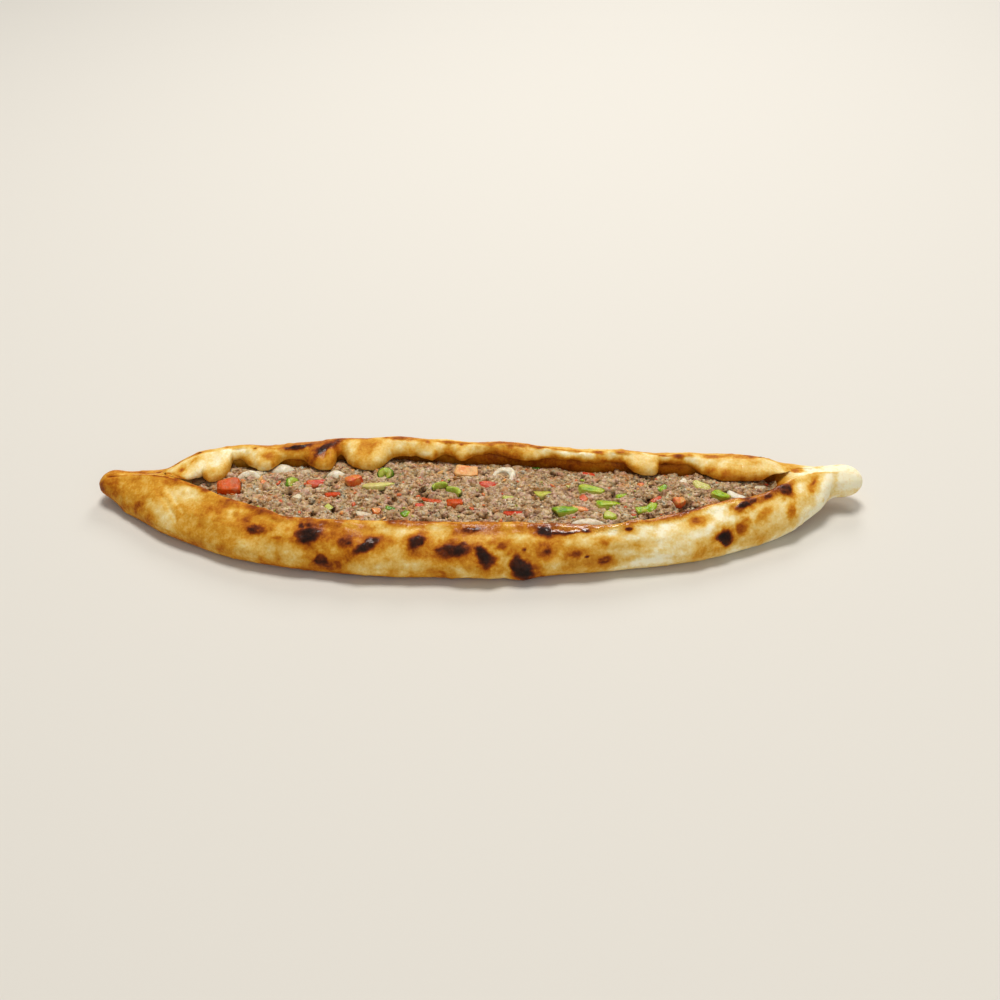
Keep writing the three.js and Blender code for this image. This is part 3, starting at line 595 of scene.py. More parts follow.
    # the same on the back rim, measured from its crest: inwards is negative
    "rimMarks": [
        (-181.5, 0, 1.4, 0.9, 20, 0.92), (-176.6, -9.6, 2.1, 2.2, 30, 0.66),
        (-171, -6, 1.6, 1.5, 10, 0.5), (-168.8, 0.4, 1.4, 0.8, 0, 0.96), (-138.5, -10.5, 2.8, 2, 0, 0.42),
        (-135.1, -2, 0.8, 0.6, 0, 0.88), (-125, -8.6, 4.0, 3.4, -8, 0.52),
        (-108.5, -0.6, 8.2, 1.7, 4, 0.9), (-92.5, -6, 8.4, 3, 40, 0.9), (-94, -17, 4, 2.2, 0, 0.4),
        (-66, -8.5, 4.6, 6.4, -12, 0.5), (-30.2, -1.3, 1.7, 1.1, 0, 0.64),
        (-10.2, -1.4, 1.8, 1.2, 0, 0.66), (25.4, -5.2, 4.9, 2, -10, 0.34), (156, -17.5, 14, 1.6, 0, 0.46),
        (164.3, -0.3, 0.8, 0.6, 0, 0.92), (170, 0.6, 0.8, 0.6, 0, 0.92), (177.8, -18, 0.9, 0.7, 0, 0.9),
        (188.6, -3.2, 2.4, 1.6, -20, 0.62),
    ],
}
lip = dough["lip"]
# the corners of a section that are the front wall's foot, and the crests of the front and back rims
footCorner, frontCrestCorner, backCrestCorner = 2, 7, 21


def lineAt(name, x):
    return dough["lines"][name](x)


def openness(x):
    # 1 where the boat is open, 0 where its two rims are pinched together
    gap = dough["opening"]
    return smooth((x - gap["start"]) / gap["startRun"]) * smooth((gap["end"] - x) / gap["endRun"])


def lipAt(x):
    # how far the lip comes in, and the height of its edge
    waver = 0.4 * np.sin(x / 3.7 + 2 * np.sin(x / 9)) + 0.3 * np.sin(x / 1.9 + 1.5 * np.sin(x / 5.3))
    reach = dough["lipReach"](x) + waver * openness(x)
    return reach, lip["lowZ"] + (lip["highZ"] - lip["lowZ"]) * np.exp((lip["reach"] - reach) / lip["sags"])


def crustCorners(x):
    # a cross-section's corner points (y, z), from under the middle round by the front and over the trough
    front, back, low = lineAt("frontBulge", x), lineAt("backBulge", x), lineAt("underside", x)
    crestF, crestFz = lineAt("frontCrest", x), lineAt("frontCrestZ", x)
    crestB, crestBz = lineAt("backCrest", x), lineAt("backCrestZ", x)
    width, rise, riseB = back - front, crestFz - low, crestBz - low
    lean, leanB = crestF - front, back - crestB
    floor = low + dough["baseThickness"]
    fit = np.minimum(1, (crestB - crestF) / 34)
    reach, edgeZ = lipAt(x)
    reach = np.minimum(reach, 0.8 * (crestB - crestF))
    inner = crestB - 2.4 * fit
    underside = [
        (back - 0.5 * width, low),
        (front + 0.24 * width, low),
    ]
    frontWall = [
        (front + 0.055 * width + 1.5, low),
        (front + 1.3, low + 0.13 * rise),
        (front, low + 0.37 * rise),
        (front + 0.33 * lean, low + 0.76 * rise),
        (front + 0.76 * lean, crestFz - 0.07 * rise),
        (crestF, crestFz),
    ]
    trough = [
        (crestF + 3.4 * fit, crestFz - 2.2),
        (crestF + 4.8 * fit, crestFz - 8),
        (crestF + 6.2 * fit, floor + 3.2),
        (crestF + 10 * fit, floor),
        (mix(crestF, crestB, 0.5), floor),
        (inner - 7 * fit, floor),
        (inner - 1.6 * fit, floor + 3),
        (inner, edgeZ - 1.6),
    ]
    foldedLip = [
        (np.maximum(inner - 1.4 * fit, crestB - reach + 3.4 * fit), edgeZ + 0.9),
        (crestB - reach + 1.9 * fit, edgeZ + 0.2),
        (crestB - reach, edgeZ + 1.6),
        (crestB - 0.93 * reach, mix(edgeZ, crestBz, 0.52)),
        (crestB - 0.5 * reach, mix(edgeZ, crestBz, 0.87)),
        (crestB, crestBz),
    ]
    backWall = [
        (crestB + 0.5 * leanB, crestBz - 0.13 * riseB),
        (crestB + 0.9 * leanB, low + 0.6 * riseB),
        (back, low + 0.34 * riseB),
        (back - 1.2, low + 0.12 * riseB),
        (back - 0.05 * width - 1.2, low),
        (back - 0.24 * width, low),
    ]
    opened = openness(x)
    shaped = []
    for i, (y, z) in enumerate(underside + frontWall + trough + foldedLip + backWall):
        if frontCrestCorner < i < backCrestCorner:
            # over the closed ends there is no lip, and the lid runs straight from crest to crest
            evenly = (i - frontCrestCorner) / (backCrestCorner - frontCrestCorner)
            y = mix(mix(crestF, crestB, evenly), y, smooth(opened / 0.12))
            share = np.clip((y - crestF) / (crestB - crestF), 0, 1)
            lid = mix(crestFz, crestBz, share) - 2.2 * np.sin(math.pi * share) * fit
            z = mix(lid, z, opened)
        shaped.append(np.stack([y + 0 * x, z + 0 * x], axis=-1))
    return np.stack(shaped, axis=1)


def chord(a, b):
    # the square root of the distance between two corners, as the curve below wants it
    return np.maximum(np.sum((a - b) ** 2, axis=-1), 1e-8)[..., None] ** 0.25


def curvedRing(corners):
    # a closed centripetal curve through each ring's corners
    before, after, beyond = (np.roll(corners, k, axis=1) for k in (1, -1, -2))
    d0, d1, d2 = chord(before, corners), chord(corners, after), chord(after, beyond)
    t1 = ((corners - before) / d0 - (after - before) / (d0 + d1) + (after - corners) / d1) * d1
    t2 = ((after - corners) / d1 - (beyond - corners) / (d1 + d2) + (beyond - after) / d2) * d1
    return np.stack([hermite(corners[:, i], after[:, i], t1[:, i], t2[:, i], k / count)
                     for i, count in enumerate(dough["cornerSteps"]) for k in range(count)], axis=1)


def crustStations(step):
    # places of the rings along the boat, closer together where the knobs turn in
    leftLength, rightLength = (dough["tips"][side]["roundLength"] for side in ("left", "right"))
    leftStart, rightStart = dough["halfLength"] - leftLength, dough["halfLength"] - rightLength
    turn = np.sin(np.linspace(0, math.pi / 2, 18)[1:-1])
    body = np.linspace(-leftStart, rightStart, int((leftStart + rightStart) / step))
    return np.concatenate([(-leftStart - turn * leftLength)[::-1], body, rightStart + turn * rightLength])


def plainCrust(step):
    # the crust's rings before any relief
    x = crustStations(step)
    corners = crustCorners(x)
    left, right = dough["tips"]["left"], dough["tips"]["right"]
    tip = {key: np.where(x < 0, left[key], right[key])[:, None] for key in left}
    roundness = smooth((np.abs(x)[:, None] - tip["turnsRoundFrom"]) / 16)
    dy = (corners[..., 0] - tip["y"]) / tip["halfWidth"]
    dz = (corners[..., 1] - tip["z"]) / tip["halfHeight"]
    far = np.maximum(np.hypot(dy, dz), 1e-6)
    y = mix(corners[..., 0], tip["y"] + dy / far * tip["halfWidth"], roundness)
    z = mix(corners[..., 1], tip["z"] + dz / far * tip["halfHeight"], roundness)
    ring = curvedRing(np.stack([y, z], axis=-1))
    flat = np.where(roundness > 0, 0, lineAt("underside", x)[:, None])
    ring[..., 1] = np.maximum(ring[..., 1], flat)
    roundFrom = dough["halfLength"] - tip["roundLength"]
    past = np.maximum(0, np.abs(x)[:, None] - roundFrom) / tip["roundLength"]
    shrink = np.sqrt(np.maximum(0, 1 - past ** 2))
    y = mix(tip["y"], ring[..., 0], shrink)
    z = mix(tip["z"], ring[..., 1], shrink)
    return np.stack([np.broadcast_to(x[:, None], y.shape), y, z], axis=-1)


def cornerStart(corner):
    return sum(dough["cornerSteps"][:corner])


def cornerShare(grid):
    # where each point of a ring stands among the section's corners, from 0 to 28
    share = np.concatenate([i + np.arange(count) / count for i, count in enumerate(dough["cornerSteps"])])
    return np.broadcast_to(share, grid.shape[:2])


def runAlong(grid, corner):
    # distance along each ring from the given corner, up the ring
    hops = np.linalg.norm(np.diff(grid, axis=1), axis=-1)
    run = np.concatenate([np.zeros((len(grid), 1)), np.cumsum(hops, axis=1)], axis=1)
    return run - run[:, cornerStart(corner)][:, None]


def farFrom(path, x, y):
    # how far each place is from a line of points, seen from above
    far = np.full(x.shape, 99.0)
    for (x0, y0), (x1, y1) in zip(path, path[1:]):
        dx, dy = x1 - x0, y1 - y0
        t = np.clip(((x - x0) * dx + (y - y0) * dy) / (dx * dx + dy * dy), 0, 1)
        far = np.minimum(far, np.hypot(x - x0 - t * dx, y - y0 - t * dy))
    return far


def wallPoint(x, up):
    # the point of the front wall at x that is the share up of the way to its crest
    corners = crustCorners(np.array([float(x)]))[0]
    at = mix(footCorner, frontCrestCorner, up)
    i = int(at)
    spot = mix(corners[i], corners[min(i + 1, frontCrestCorner)], at - i)
    return np.array([x, spot[0], spot[1]])


def crustRelief(grid):
    # the wall's swells and its big blisters
    x, y, z = grid[..., 0], grid[..., 1], grid[..., 2]
    swells = 0.45 * np.sin(x / 9.5 + 1.3 * np.sin(z / 6)) + 0.35 * np.sin(x / 5.3 + y / 11 + 2)
    rise = swells * smooth((z - 2) / 6)
    for along, up, radius, height in dough["blisters"]:
        rise = rise + height * roundBell(np.linalg.norm(grid - wallPoint(along, up), axis=-1) / radius)
    return rise


def fineBlistering(grid):
    # how far the small blisters stand out, and how much browner they are
    fine = dough["fineBlisters"]
    draw = np.random.default_rng(fine["seed"])
    corner = cornerShare(grid)[0]
    columns = np.flatnonzero(((corner > 2.5) & (corner < 8)) | ((corner > 17.5) & (corner < 25)))
    rise, shade = np.zeros(grid.shape[:2]), np.zeros(grid.shape[:2])
    for _ in range(fine["count"]):
        ring, column = draw.integers(24, len(grid) - 24), draw.choice(columns)
        radius = draw.uniform(fine["least"], fine["most"])
        near = slice(ring - 9, ring + 10)
        bell = roundBell(np.linalg.norm(grid[near] - grid[ring, column], axis=-1) / radius)
        rise[near] = np.maximum(rise[near], fine["rise"] * radius * bell)
        shade[near] += draw.uniform(fine["pale"], fine["brown"]) * bell
    return rise, shade


def stamped(tone, spot, run, marks):
    # each mark darkens the dough to its core tone, soft-edged and mottled, with a brown halo round it
    x = spot[..., 0]
    wobbleX = 2.2 * layeredNoise(spot, 7.5, 41) + 0.8 * softNoise(spot, 2.3, 47)
    wobbleUp = 1.8 * layeredNoise(spot, 7.5, 53) + 0.7 * softNoise(spot, 2.3, 59)
    patchy = 0.6 * softNoise(spot, 4.2, 61) + 0.4 * softNoise(spot, 1.5, 67)
    striped = layeredNoise(spot * [0.3, 1, 1], 1.4, 69)
    core = np.zeros_like(tone)
    marked = tone.copy()
    for along, up, halfLong, halfUp, tilt, dark in marks:
        near = np.abs(x[:, 0] - along) < 3 * max(halfLong, halfUp) + 14
        plain, rough = tone[near], patchy[near]
        small, charred = min(halfLong, halfUp), dark > 0.7
        dx = x[near] - along + wobbleX[near] * min(1, halfLong / 3.4)
        dy = run[near] - up + wobbleUp[near] * min(1, halfUp / 3)
        c, s = math.cos(math.radians(tilt)), math.sin(math.radians(tilt))
        far = np.hypot((c * dx + s * dy) / halfLong, (c * dy - s * dx) / halfUp)
        heart = smooth((1.42 + 0.3 * rough - far) / (0.85 if charred else 1.15))
        softness = 2.0 + 0.85 * small
        halo = np.exp(-(np.maximum(0, far - 0.9) * small / softness) ** 2) * (0.75 + 0.5 * rough)
        halo = np.clip(0.85 * halo * min(1, small / 1.6), 0, 1)
        brown = mix(0.4, 0.63, smooth((dark - 0.45) / 0.4))
        burnt = dark - 0.06 - (0.15 if charred else 0.05) * (rough + 1.1 * striped[near])
        now = mix(plain, np.maximum(plain, brown), halo)
        now = np.maximum(now, mix(now, burnt, heart))
        marked[near] = np.maximum(marked[near], now)
        core[near] = np.maximum(core[near], heart * smooth((dark - 0.7) / 0.15))
    return marked, core


def wallTone(x, height, along, cloud, puff, streak):
    # the front wall: its belly is the palest, its foot is browner, partly browning and partly painted
    # shade, and its crest the brownest
    streaky = 0.07 + 0.13 * roundBell((x - 92) / 60)
    clouded = 0.34 - 0.14 * smooth((x - 125) / 35) - 0.08 * smooth((x - 172) / 14)
    clouded = clouded - 0.1 * smooth((-135 - x) / 25)
    belly = along["middle"] + clouded * cloud + 0.15 * puff + streaky * streak
    foot = along["tableEdge"] + 0.09 * puff + 0.09 * streak
    crest = along["frontCrest"] + 0.2 * puff
    wall = mix(belly, foot, 1 - smooth((height - 0.03 - 0.14 * cloud) / 0.3))
    wall = mix(wall, crest, smooth((height - 0.83 + 0.14 * cloud) / 0.13))
    # a thin broken line right on the edge, darkest towards the left end
    edgeLine = mix(0.2, 0.06, smooth((x + 172) / 12)) * smooth((height - 0.955) / 0.035)
    return wall + edgeLine * smooth(0.7 + 1.5 * puff)


def rimTone(x, corner, crestRun, along, inner, outer, cloud, puff, streak):
    # the back rim's face: pale on its lobes, with painted shade as dark as the trough in the notches
    # between them, and brown on its crest
    reach, _ = lipAt(x[:, 0])
    hang = smooth((reach[:, None] - lip["reach"]) / 9)
    flank = np.abs(np.gradient(reach, x[:, 0]))[:, None]
    down = np.clip((backCrestCorner - corner) / 3, 0, 1)
    low = along["backLow"] + 0.12 * puff + 0.1 * cloud
    face = along["backFace"] + 0.2 * cloud + 0.14 * puff + 0.05 * streak
    # browner down towards the lip's edge: partly browning, partly painted shade where the lip curls under
    face = mix(face, low, smooth((down - 0.42 + 0.25 * puff) / 0.5))
    # painted shade in the notches between the lobes
    face = mix(face, inner - 0.06, (1 - hang) * smooth((down - 0.12 + 0.2 * puff) / 0.75))
    # painted shade on the lobes' steep flanks
    face = face + 0.13 * smooth(flank / 1.6) * smooth((down - 0.2) / 0.5)
    crestBand = smooth((2.3 + 2.8 * puff - np.abs(crestRun)) / 2.4)
    face = mix(face, outer, smooth((crestRun + 0.6 + puff) / 2.4))
    return mix(face, along["backCrest"] + 0.16 * puff, crestBand)


def fatShine(grid, corner, height, core, cloud, puff):
    # fat shines on the front rim beside the meat, on char, and in beads at the pinched left end
    x, y = grid[..., 0], grid[..., 1]
    glazed = 0.2 + 0.8 * smooth((x - 26) / 26) * (1 - 0.65 * smooth((x - 78) / 22))
    oily = smooth((height - 0.82) / 0.12) * (corner < 8.5) * glazed
    oily = oily * smooth((x + 150) / 60) * smooth((198 - x) / 20)
    beaded = 0
    for alongX, alongY, halfLong, halfWide in dough["fatBeads"]:
        beaded = beaded + roundBell(np.hypot((x - alongX) / halfLong, (y - alongY) / halfWide))
    beaded = 0.5 * beaded * smooth(0.5 + 1.5 * puff) * (corner > 6)
    return np.clip(0.02 + 0.78 * oily + 0.16 * core + 0.12 * cloud + beaded, 0, 1)


def crustTone(grid):
    # how brown the dough is, with its painted shade, how much fat shines on it, and where it is char
    x, y, corner = grid[..., 0], grid[..., 1], cornerShare(grid)
    wallRun, rimRun = runAlong(grid, footCorner), runAlong(grid, backCrestCorner)
    height = wallRun / wallRun[:, cornerStart(frontCrestCorner)][:, None]
    along = {key: curve(x[:, 0])[:, None] for key, curve in dough["browningAndShade"].items()}
    # the browning is cloudy, puffed and streaked all over
    bent = grid + 5 * np.stack([layeredNoise(grid, 16, 15), layeredNoise(grid, 16, 17), 0 * x], axis=-1)
    cloud = layeredNoise(bent * [0.6, 1, 1], 17, 21)
    puff = layeredNoise(bent * [0.8, 1, 1], 6, 23)
    streak = layeredNoise(grid * [0.16, 1, 1], 3.4, 27)
    knob = smooth((x - 184) / 20)
    wall = wallTone(x, height, along, cloud, puff, streak)
    # the trough's walls: their browning and the painted shade under the lip
    inner = along["trough"] + 0.1 * cloud + 0.06 * puff
    outer = mix(0.36, 0.1, knob) + 0.24 * cloud + 0.1 * puff + 0.06 * streak
    under = mix(0.44, 0.2, knob) + 0.26 * cloud + 0.08 * puff
    rimFace = rimTone(x, corner, rimRun, along, inner, outer, cloud, puff, streak)
    # one part of the section after another, each blended into the next
    parts = [corner < 2, corner < 7.6, corner < 17, corner < 22]
    tone = np.select(parts, [under, wall, inner, rimFace], outer)
    tone = mix(tone, inner, smooth((corner - 7.2) / 1.2) * (corner < 17))
    tone = mix(tone, rimFace, smooth((corner - 16.4) / 1.0) * (corner < 21.5))
    tone = mix(tone, outer, smooth((corner - 21.5) / 0.8))
    tone = mix(tone, under, np.maximum(smooth((corner - 25.5) / 1.2), 1 - smooth((corner - 1.4) / 0.8)))
    # the closed ends have no trough: their lid is plain dough
    lid = mix(along["middle"], along["backFace"], 0.5) + 0.16 * cloud + 0.08 * puff
    closed = (1 - openness(x)) * smooth((corner - 6.9) / 0.8) * (1 - smooth((corner - 20.6) / 0.8))
    tone = mix(tone, lid, closed)
    # painted shade inside the trough where the rims close in towards its two ends
    opening = 4 * openness(x) * (1 - openness(x))
    tone = tone + 0.24 * opening * smooth((corner - 8) / 1.5) * (1 - smooth((corner - 15) / 2))
    for alongX, alongY, halfLong, halfWide, paleTone in dough["palePatches"]:
        far = np.hypot((x - alongX) / halfLong, (y - alongY) / halfWide) + 0.25 * puff
        share = 0.85 * smooth((1.15 - far) / 0.5) * (corner > 10) * (np.abs(rimRun) > 1.2)
        tone = mix(tone, paleTone + 0.1 * puff, share)
    for fold in dough["creases"]:
        line = np.exp(-(farFrom(fold["path"], x, y) / (0.8 * fold["wide"])) ** 2)
        tone = mix(tone, fold["tone"], 0.8 * line * (corner > 4) * (corner < 23))
    core = 0
    for part, run, marks in (((corner >= 2) & (corner < 9), wallRun, dough["wallMarks"]),
                             ((corner >= 15) & (corner < 24), rimRun, dough["rimMarks"])):
        marked, char = stamped(tone, grid, run, marks)
        tone = np.where(part, marked, tone)
        core = core + np.where(part, char, 0)
    return np.clip(tone, 0, 1), fatShine(grid, corner, height, core, cloud, puff), core


def dressedCrust():
    # the crust's rings with their relief, their browning and painted shade, and their shine
    grid = plainCrust(dough["ringStep"])
    tone, shine, core = crustTone(grid)
    blisterRise, blisterShade = fineBlistering(grid)
    tone = np.clip(tone + blisterShade * (1 - tone), 0, 1)
    x, y, z = grid[..., 0], grid[..., 1], grid[..., 2]
    corner = cornerShare(grid)
    inTrough = (np.abs(x) < 200) & (y > lineAt("frontCrest", x) + 1) & (y < lineAt("backCrest", x) - 1)
    above = smooth((z - lineAt("underside", x) - 0.3) / 2.5)
    fade = smooth((225 - np.abs(x)) / 12)
    rise = np.where(inTrough, 0, crustRelief(grid)) * fade * above
    rise = rise + 0.42 * layeredNoise(grid, 10, 3) * above
    ripples = 0.13 * layeredNoise(grid, 2.6, 8) + 0.14 * layeredNoise(grid * [0.25, 1, 1], 2.6, 9)
    rise = rise + ripples * above
    rise = rise + blisterRise * above
    # the rim's face swells out over each lobe and is drawn in between them
    reach, _ = lipAt(x[:, 0])
    hang = smooth((reach[:, None] - lip["reach"]) / 12)
    face = smooth((corner - 16.8) / 1.2) * (1 - smooth((corner - 20.2) / 1.2)) * openness(x)
    folds = 0.9 * layeredNoise(grid * [1, 0.25, 0.25], 8, 19)
    folds = folds + 0.3 * softNoise(grid * [1, 0.4, 0.4], 3.2, 22)
    rise = rise + face * (1.3 * hang - 0.3 + folds)
    for fold in dough["creases"]:
        line = np.exp(-(farFrom(fold["path"], x, y) / fold["wide"]) ** 2)
        rise = rise - fold["deep"] * line * (corner > 4) * (corner < 23)
    # char is blistered and pitted
    pitted = 0.24 * softNoise(grid, 1.6, 13) + 0.36 * softNoise(grid * [0.3, 1, 1], 1.3, 14)
    rise = rise + core * (0.4 + pitted)
    return grid + gridNormals(grid) * rise[..., None], tone, shine


def bakedCrust():
    skin, tone, shine = dressedCrust()
    left, right = dough["tips"]["left"], dough["tips"]["right"]
    ends = (-dough["halfLength"], left["y"], left["z"]), (dough["halfLength"], right["y"], right["z"])
    crust = closedSkin("bakedCrust", skin, *ends, doughSkin, {"bakeAndShade": tone, "oil": shine})
    return kept(crust, "baked_crust", "crust")


crust = bakedCrust()
print("dough:", len(crust.data.polygons), "faces")


# the bed of minced meat: a domed heap with crumbs of three sizes and small hollows between them, painted
# dark as shade
meat = dict(
    start=-172.0, end=178.0, step=0.55, across=112, air=0.3,
    level=15.4, dome=2.4, settled=2.2, endRun=22, endDrop=2.5, edgeDrop=1.9, backEdge=0.14, frontEdge=0.05,
    crumbs=[
        dict(size=7.6, rise=1.6, seed=3),
        dict(size=3.5, rise=1.15, seed=5),
        dict(size=1.6, rise=0.45, seed=7),
    ],
    hollows=dict(count=150, least=0.8, most=2.2, depth=3.6, seed=5))


def troughRoom(x):
    # the room between the trough's own walls, less a little air
    corners, air = crustCorners(x), meat["air"]
    return dict(front=corners[:, 10, 0] + air, frontLow=corners[:, 11, 0] + air,
                back=corners[:, 14, 0] - air, backLow=corners[:, 13, 0] - air,
                floor=corners[:, 12, 1] + 0.5)


def meatTop(x, y, room):
    # the heap's level before its crumbs: domed, lower along its edges, and clear of the lip over it
    share = np.clip((y - room["front"]) / (room["back"] - room["front"]), 0, 1)
    ends = smooth((x - meat["start"]) / meat["endRun"]) * smooth((meat["end"] - x) / meat["endRun"])
    domed = meat["level"] + meat["dome"] * np.sin(math.pi * share) ** 0.8 * ends
    atBack = smooth((share - (1 - meat["backEdge"])) / meat["backEdge"])
    atFront = smooth((meat["frontEdge"] - share) / meat["frontEdge"])
    top = domed - meat["endDrop"] * (1 - ends) - meat["edgeDrop"] * (atBack + 0.4 * atFront)
    reach, edgeZ = lipAt(x)
    underLip = y > lineAt("backCrest", x) - reach - 3
    return np.where(underLip, np.minimum(top, edgeZ - 1.3), top)


def cut(shape, size, turn, tilt, tone, skin="none", **more):
    # a piece's shape and size, how it is turned and tilted in degrees, its tone, from 0 for the darkest of
    # its kind to 1 for the palest, and where its skin is
    return dict(shape=shape, size=size, turn=turn, tilt=tilt, tone=tone, skin=skin, **more)


# the pieces as large as a berry come first, each in the place of its solid, and the smaller ones lie half
# sunk in the meat at a place of their own
vegetables = {
    "tomato": [
        cut("block", (13.5, 11.5, 8), 12, 10, 0.16, "side", nudge=(2.4, -0.6)),
        cut("wedge", (13, 5, 3), 12, 20, 0.62, "top"),
        cut("block", (9.5, 8, 6), 40, -12, 0.72, "side"),
        cut("block", (13.5, 4.6, 3), -16, -16, 0.22, "top"),
        cut("block", (9.5, 7, 4.6), 10, -14, 0.2, "top"),
        cut("block", (16, 9.5, 5.5), -8, 8, 0.95),
        cut("wedge", (12, 5.5, 3), 4, 14, 0.58, "top"),
        cut("wedge", (12, 5.5, 3), 10, -12, 0.5, "top"),
        cut("wedge", (7.5, 6.5, 5), 24, 10, 0.8, "side"),
        cut("block", (11, 3.8, 2.6), 8, -8, 0.2, "top", at=(-83, -22)),
        cut("wedge", (7, 5, 3.5), -50, 6, 0.66, "top", at=(64, -24)),
        cut("wedge", (6, 5.5, 4.5), 30, 6, 0.82, at=(-56, -37)),
        cut("wedge", (10, 4, 2.4), -8, 4, 0.84, at=(62, -33.5)),
        cut("block", (7.5, 3, 2), 34, 4, 0.24, "top", at=(106, -24.5)),
        cut("block", (9, 3.2, 2), -10, 4, 0.3, "top", at=(67, 2)),
        cut("wedge", (6, 3, 2), 10, 4, 0.4, "top", at=(-31, -31)),
        cut("wedge", (5, 4, 3), 50, 4, 0.76, "side", at=(-143, -20)),
        cut("wedge", (5.5, 4, 3), -20, 4, 0.7, "side", at=(-126, -10)),
        cut("wedge", (5, 3.2, 2.2), 40, 4, 0.74, at=(98, -10)),
    ],
    "pepper": [
        cut("slice", (4.8, 5), 70, 18, 0.3, radius=3, sweep=200),
        cut("slice", (5.2, 6), -20, 14, 0.24, radius=2.7, sweep=300),
        cut("wedge", (21, 6, 4), 16, -14, 0.98),
        cut("slice", (3.8, 5), 28, -22, 0.22, radius=4.4, sweep=180),
        cut("slice", (3.8, 5), -38, -22, 0.2, radius=4.4, sweep=180),
        cut("wedge", (12, 8.5, 4), 18, -16, 0.9, "top"),
        cut("wedge", (16, 8, 4.6), 14, -14, 0.46, "top"),
        cut("wedge", (17, 8.5, 4.2), -14, -12, 0.68, "top"),
        cut("wedge", (15, 7.5, 4), 4, -14, 0.66, "top"),
        cut("wedge", (9, 6, 4), -20, 0, 0.7, "side"),
        cut("wedge", (12, 6, 3.6), 58, 10, 0.6, "top"),
        cut("wedge", (9, 5.5, 3.4), 48, 8, 0.56, "top"),
        cut("wedge", (12, 6.5, 3.4), -22, 10, 0.84),
        cut("wedge", (11, 8, 4), -34, -10, 0.66, "top"),
        cut("wedge", (6, 4.5, 3), 50, 6, 0.62, "top", at=(-111, -8)),
        cut("wedge", (7, 4.4, 3), 60, 6, 0.46, "top", at=(-39, -38.5)),
        cut("wedge", (6, 3.6, 2.4), -10, 6, 0.3, "top", at=(-48, -34)),
        cut("wedge", (7, 4, 2.4), 6, 6, 0.56, at=(20, -24)),
        cut("wedge", (8.5, 3.4, 2.6), 24, 6, 0.62, "top", at=(86, -22)),
        cut("wedge", (8, 4.8, 2.6), 20, 6, 0.64, "top", at=(97, -34)),
        cut("wedge", (5.5, 4.4, 2.4), -30, 6, 0.8, at=(-84, -33)),
        cut("wedge", (5, 3, 2), 20, 6, 0.12, "top", at=(36, 9)),
    ],
    "onion": [
        cut("petal", (15, 10, 3), 8, 16, 0.8, cup=2.6),
        cut("slice", (5, 5), 10, 30, 0.8, radius=6.2, sweep=160),
        cut("petal", (13, 7.5, 3), -4, 14, 0.8, cup=2),
        cut("slice", (5.4, 6), -22, 12, 0.86, radius=5.4, sweep=230),
        cut("petal", (20, 8.5, 3.4), 2, -20, 0.85, cup=2.2),
        cut("wedge", (12, 5, 3), -24, 8, 0.98, at=(153, -19)),
        cut("wedge", (7, 4, 2.6), 70, 6, 0.75, at=(123, -5)),
        cut("wedge", (8, 4, 2.4), 20, 6, 0.8, at=(168, -9)),
        cut("wedge", (10, 4, 2.6), -4, 6, 0.7, at=(-63, -39)),
        cut("wedge", (7, 5, 2.6), 20, 6, 0.65, at=(-132, -1)),
        cut("wedge", (6, 4.5, 2.6), 60, 6, 0.6, at=(-104, -24)),
        cut("wedge", (7, 4, 2.4), 10, 6, 0.6, at=(-103, 2)),
    ],
}
# how much each kind of cut rounds its edges: the higher, the sharper
edgeSharpness = {"block": 7.0, "wedge": 3.6}
blockCuts = 9
knifeFacets = 5


def cutBlock(size, edge):
    # a block cut with a knife: flat sides, edges a little soft
    block = bmesh.new()
    bmesh.ops.create_cube(block, size=2)
    bmesh.ops.subdivide_edges(block, edges=block.edges[:], cuts=blockCuts, use_grid_fill=True)
    points, faces = pointsOf(block)
    far = np.abs(points)
    points = points * (far.max(axis=1) / np.sum(far ** edge, axis=1) ** (1 / edge))[:, None]
    return points * np.array(size) / 2, faces, points


def roundSection(count, square=3.0):
    angle = np.linspace(0, 2 * math.pi, count, endpoint=False)
    c, s = np.cos(angle), np.sin(angle)
    return np.sign(c) * np.abs(c) ** (2 / square), np.sign(s) * np.abs(s) ** (2 / square)


def closerAtEnds(count, start):
    # steps from 0 to 1 that crowd towards both ends
    return (1 - np.cos(np.linspace(start, math.pi - start, count))) / 2


def ringSlice(radius, sweep, size):
    # part of a ring cut from a hollow pepper or an onion, thinner towards its two ends
    half = math.radians(sweep) / 2
    t = closerAtEnds(30, 0.1)
    angle = mix(-half, half, t)[:, None]
    ends = np.sqrt(np.clip(np.minimum(t, 1 - t) * 2 * half * radius / 0.9, 0, 1))
    thin = ((0.62 + 0.38 * np.sin(math.pi * t)) * mix(0.45, 1, ends))[:, None]
    across, up = roundSection(18)
    out = radius + across * thin * size[0] / 2
    grid = np.stack([out * np.sin(angle), out * np.cos(angle) - radius, up * thin * size[1] / 2], axis=-1)
    side = np.broadcast_to(across, grid.shape[:2])
    points, faces = skinOf(grid, grid[0].mean(axis=0), grid[-1].mean(axis=0))
    return points, faces, np.append(side.ravel(), [0, 0])


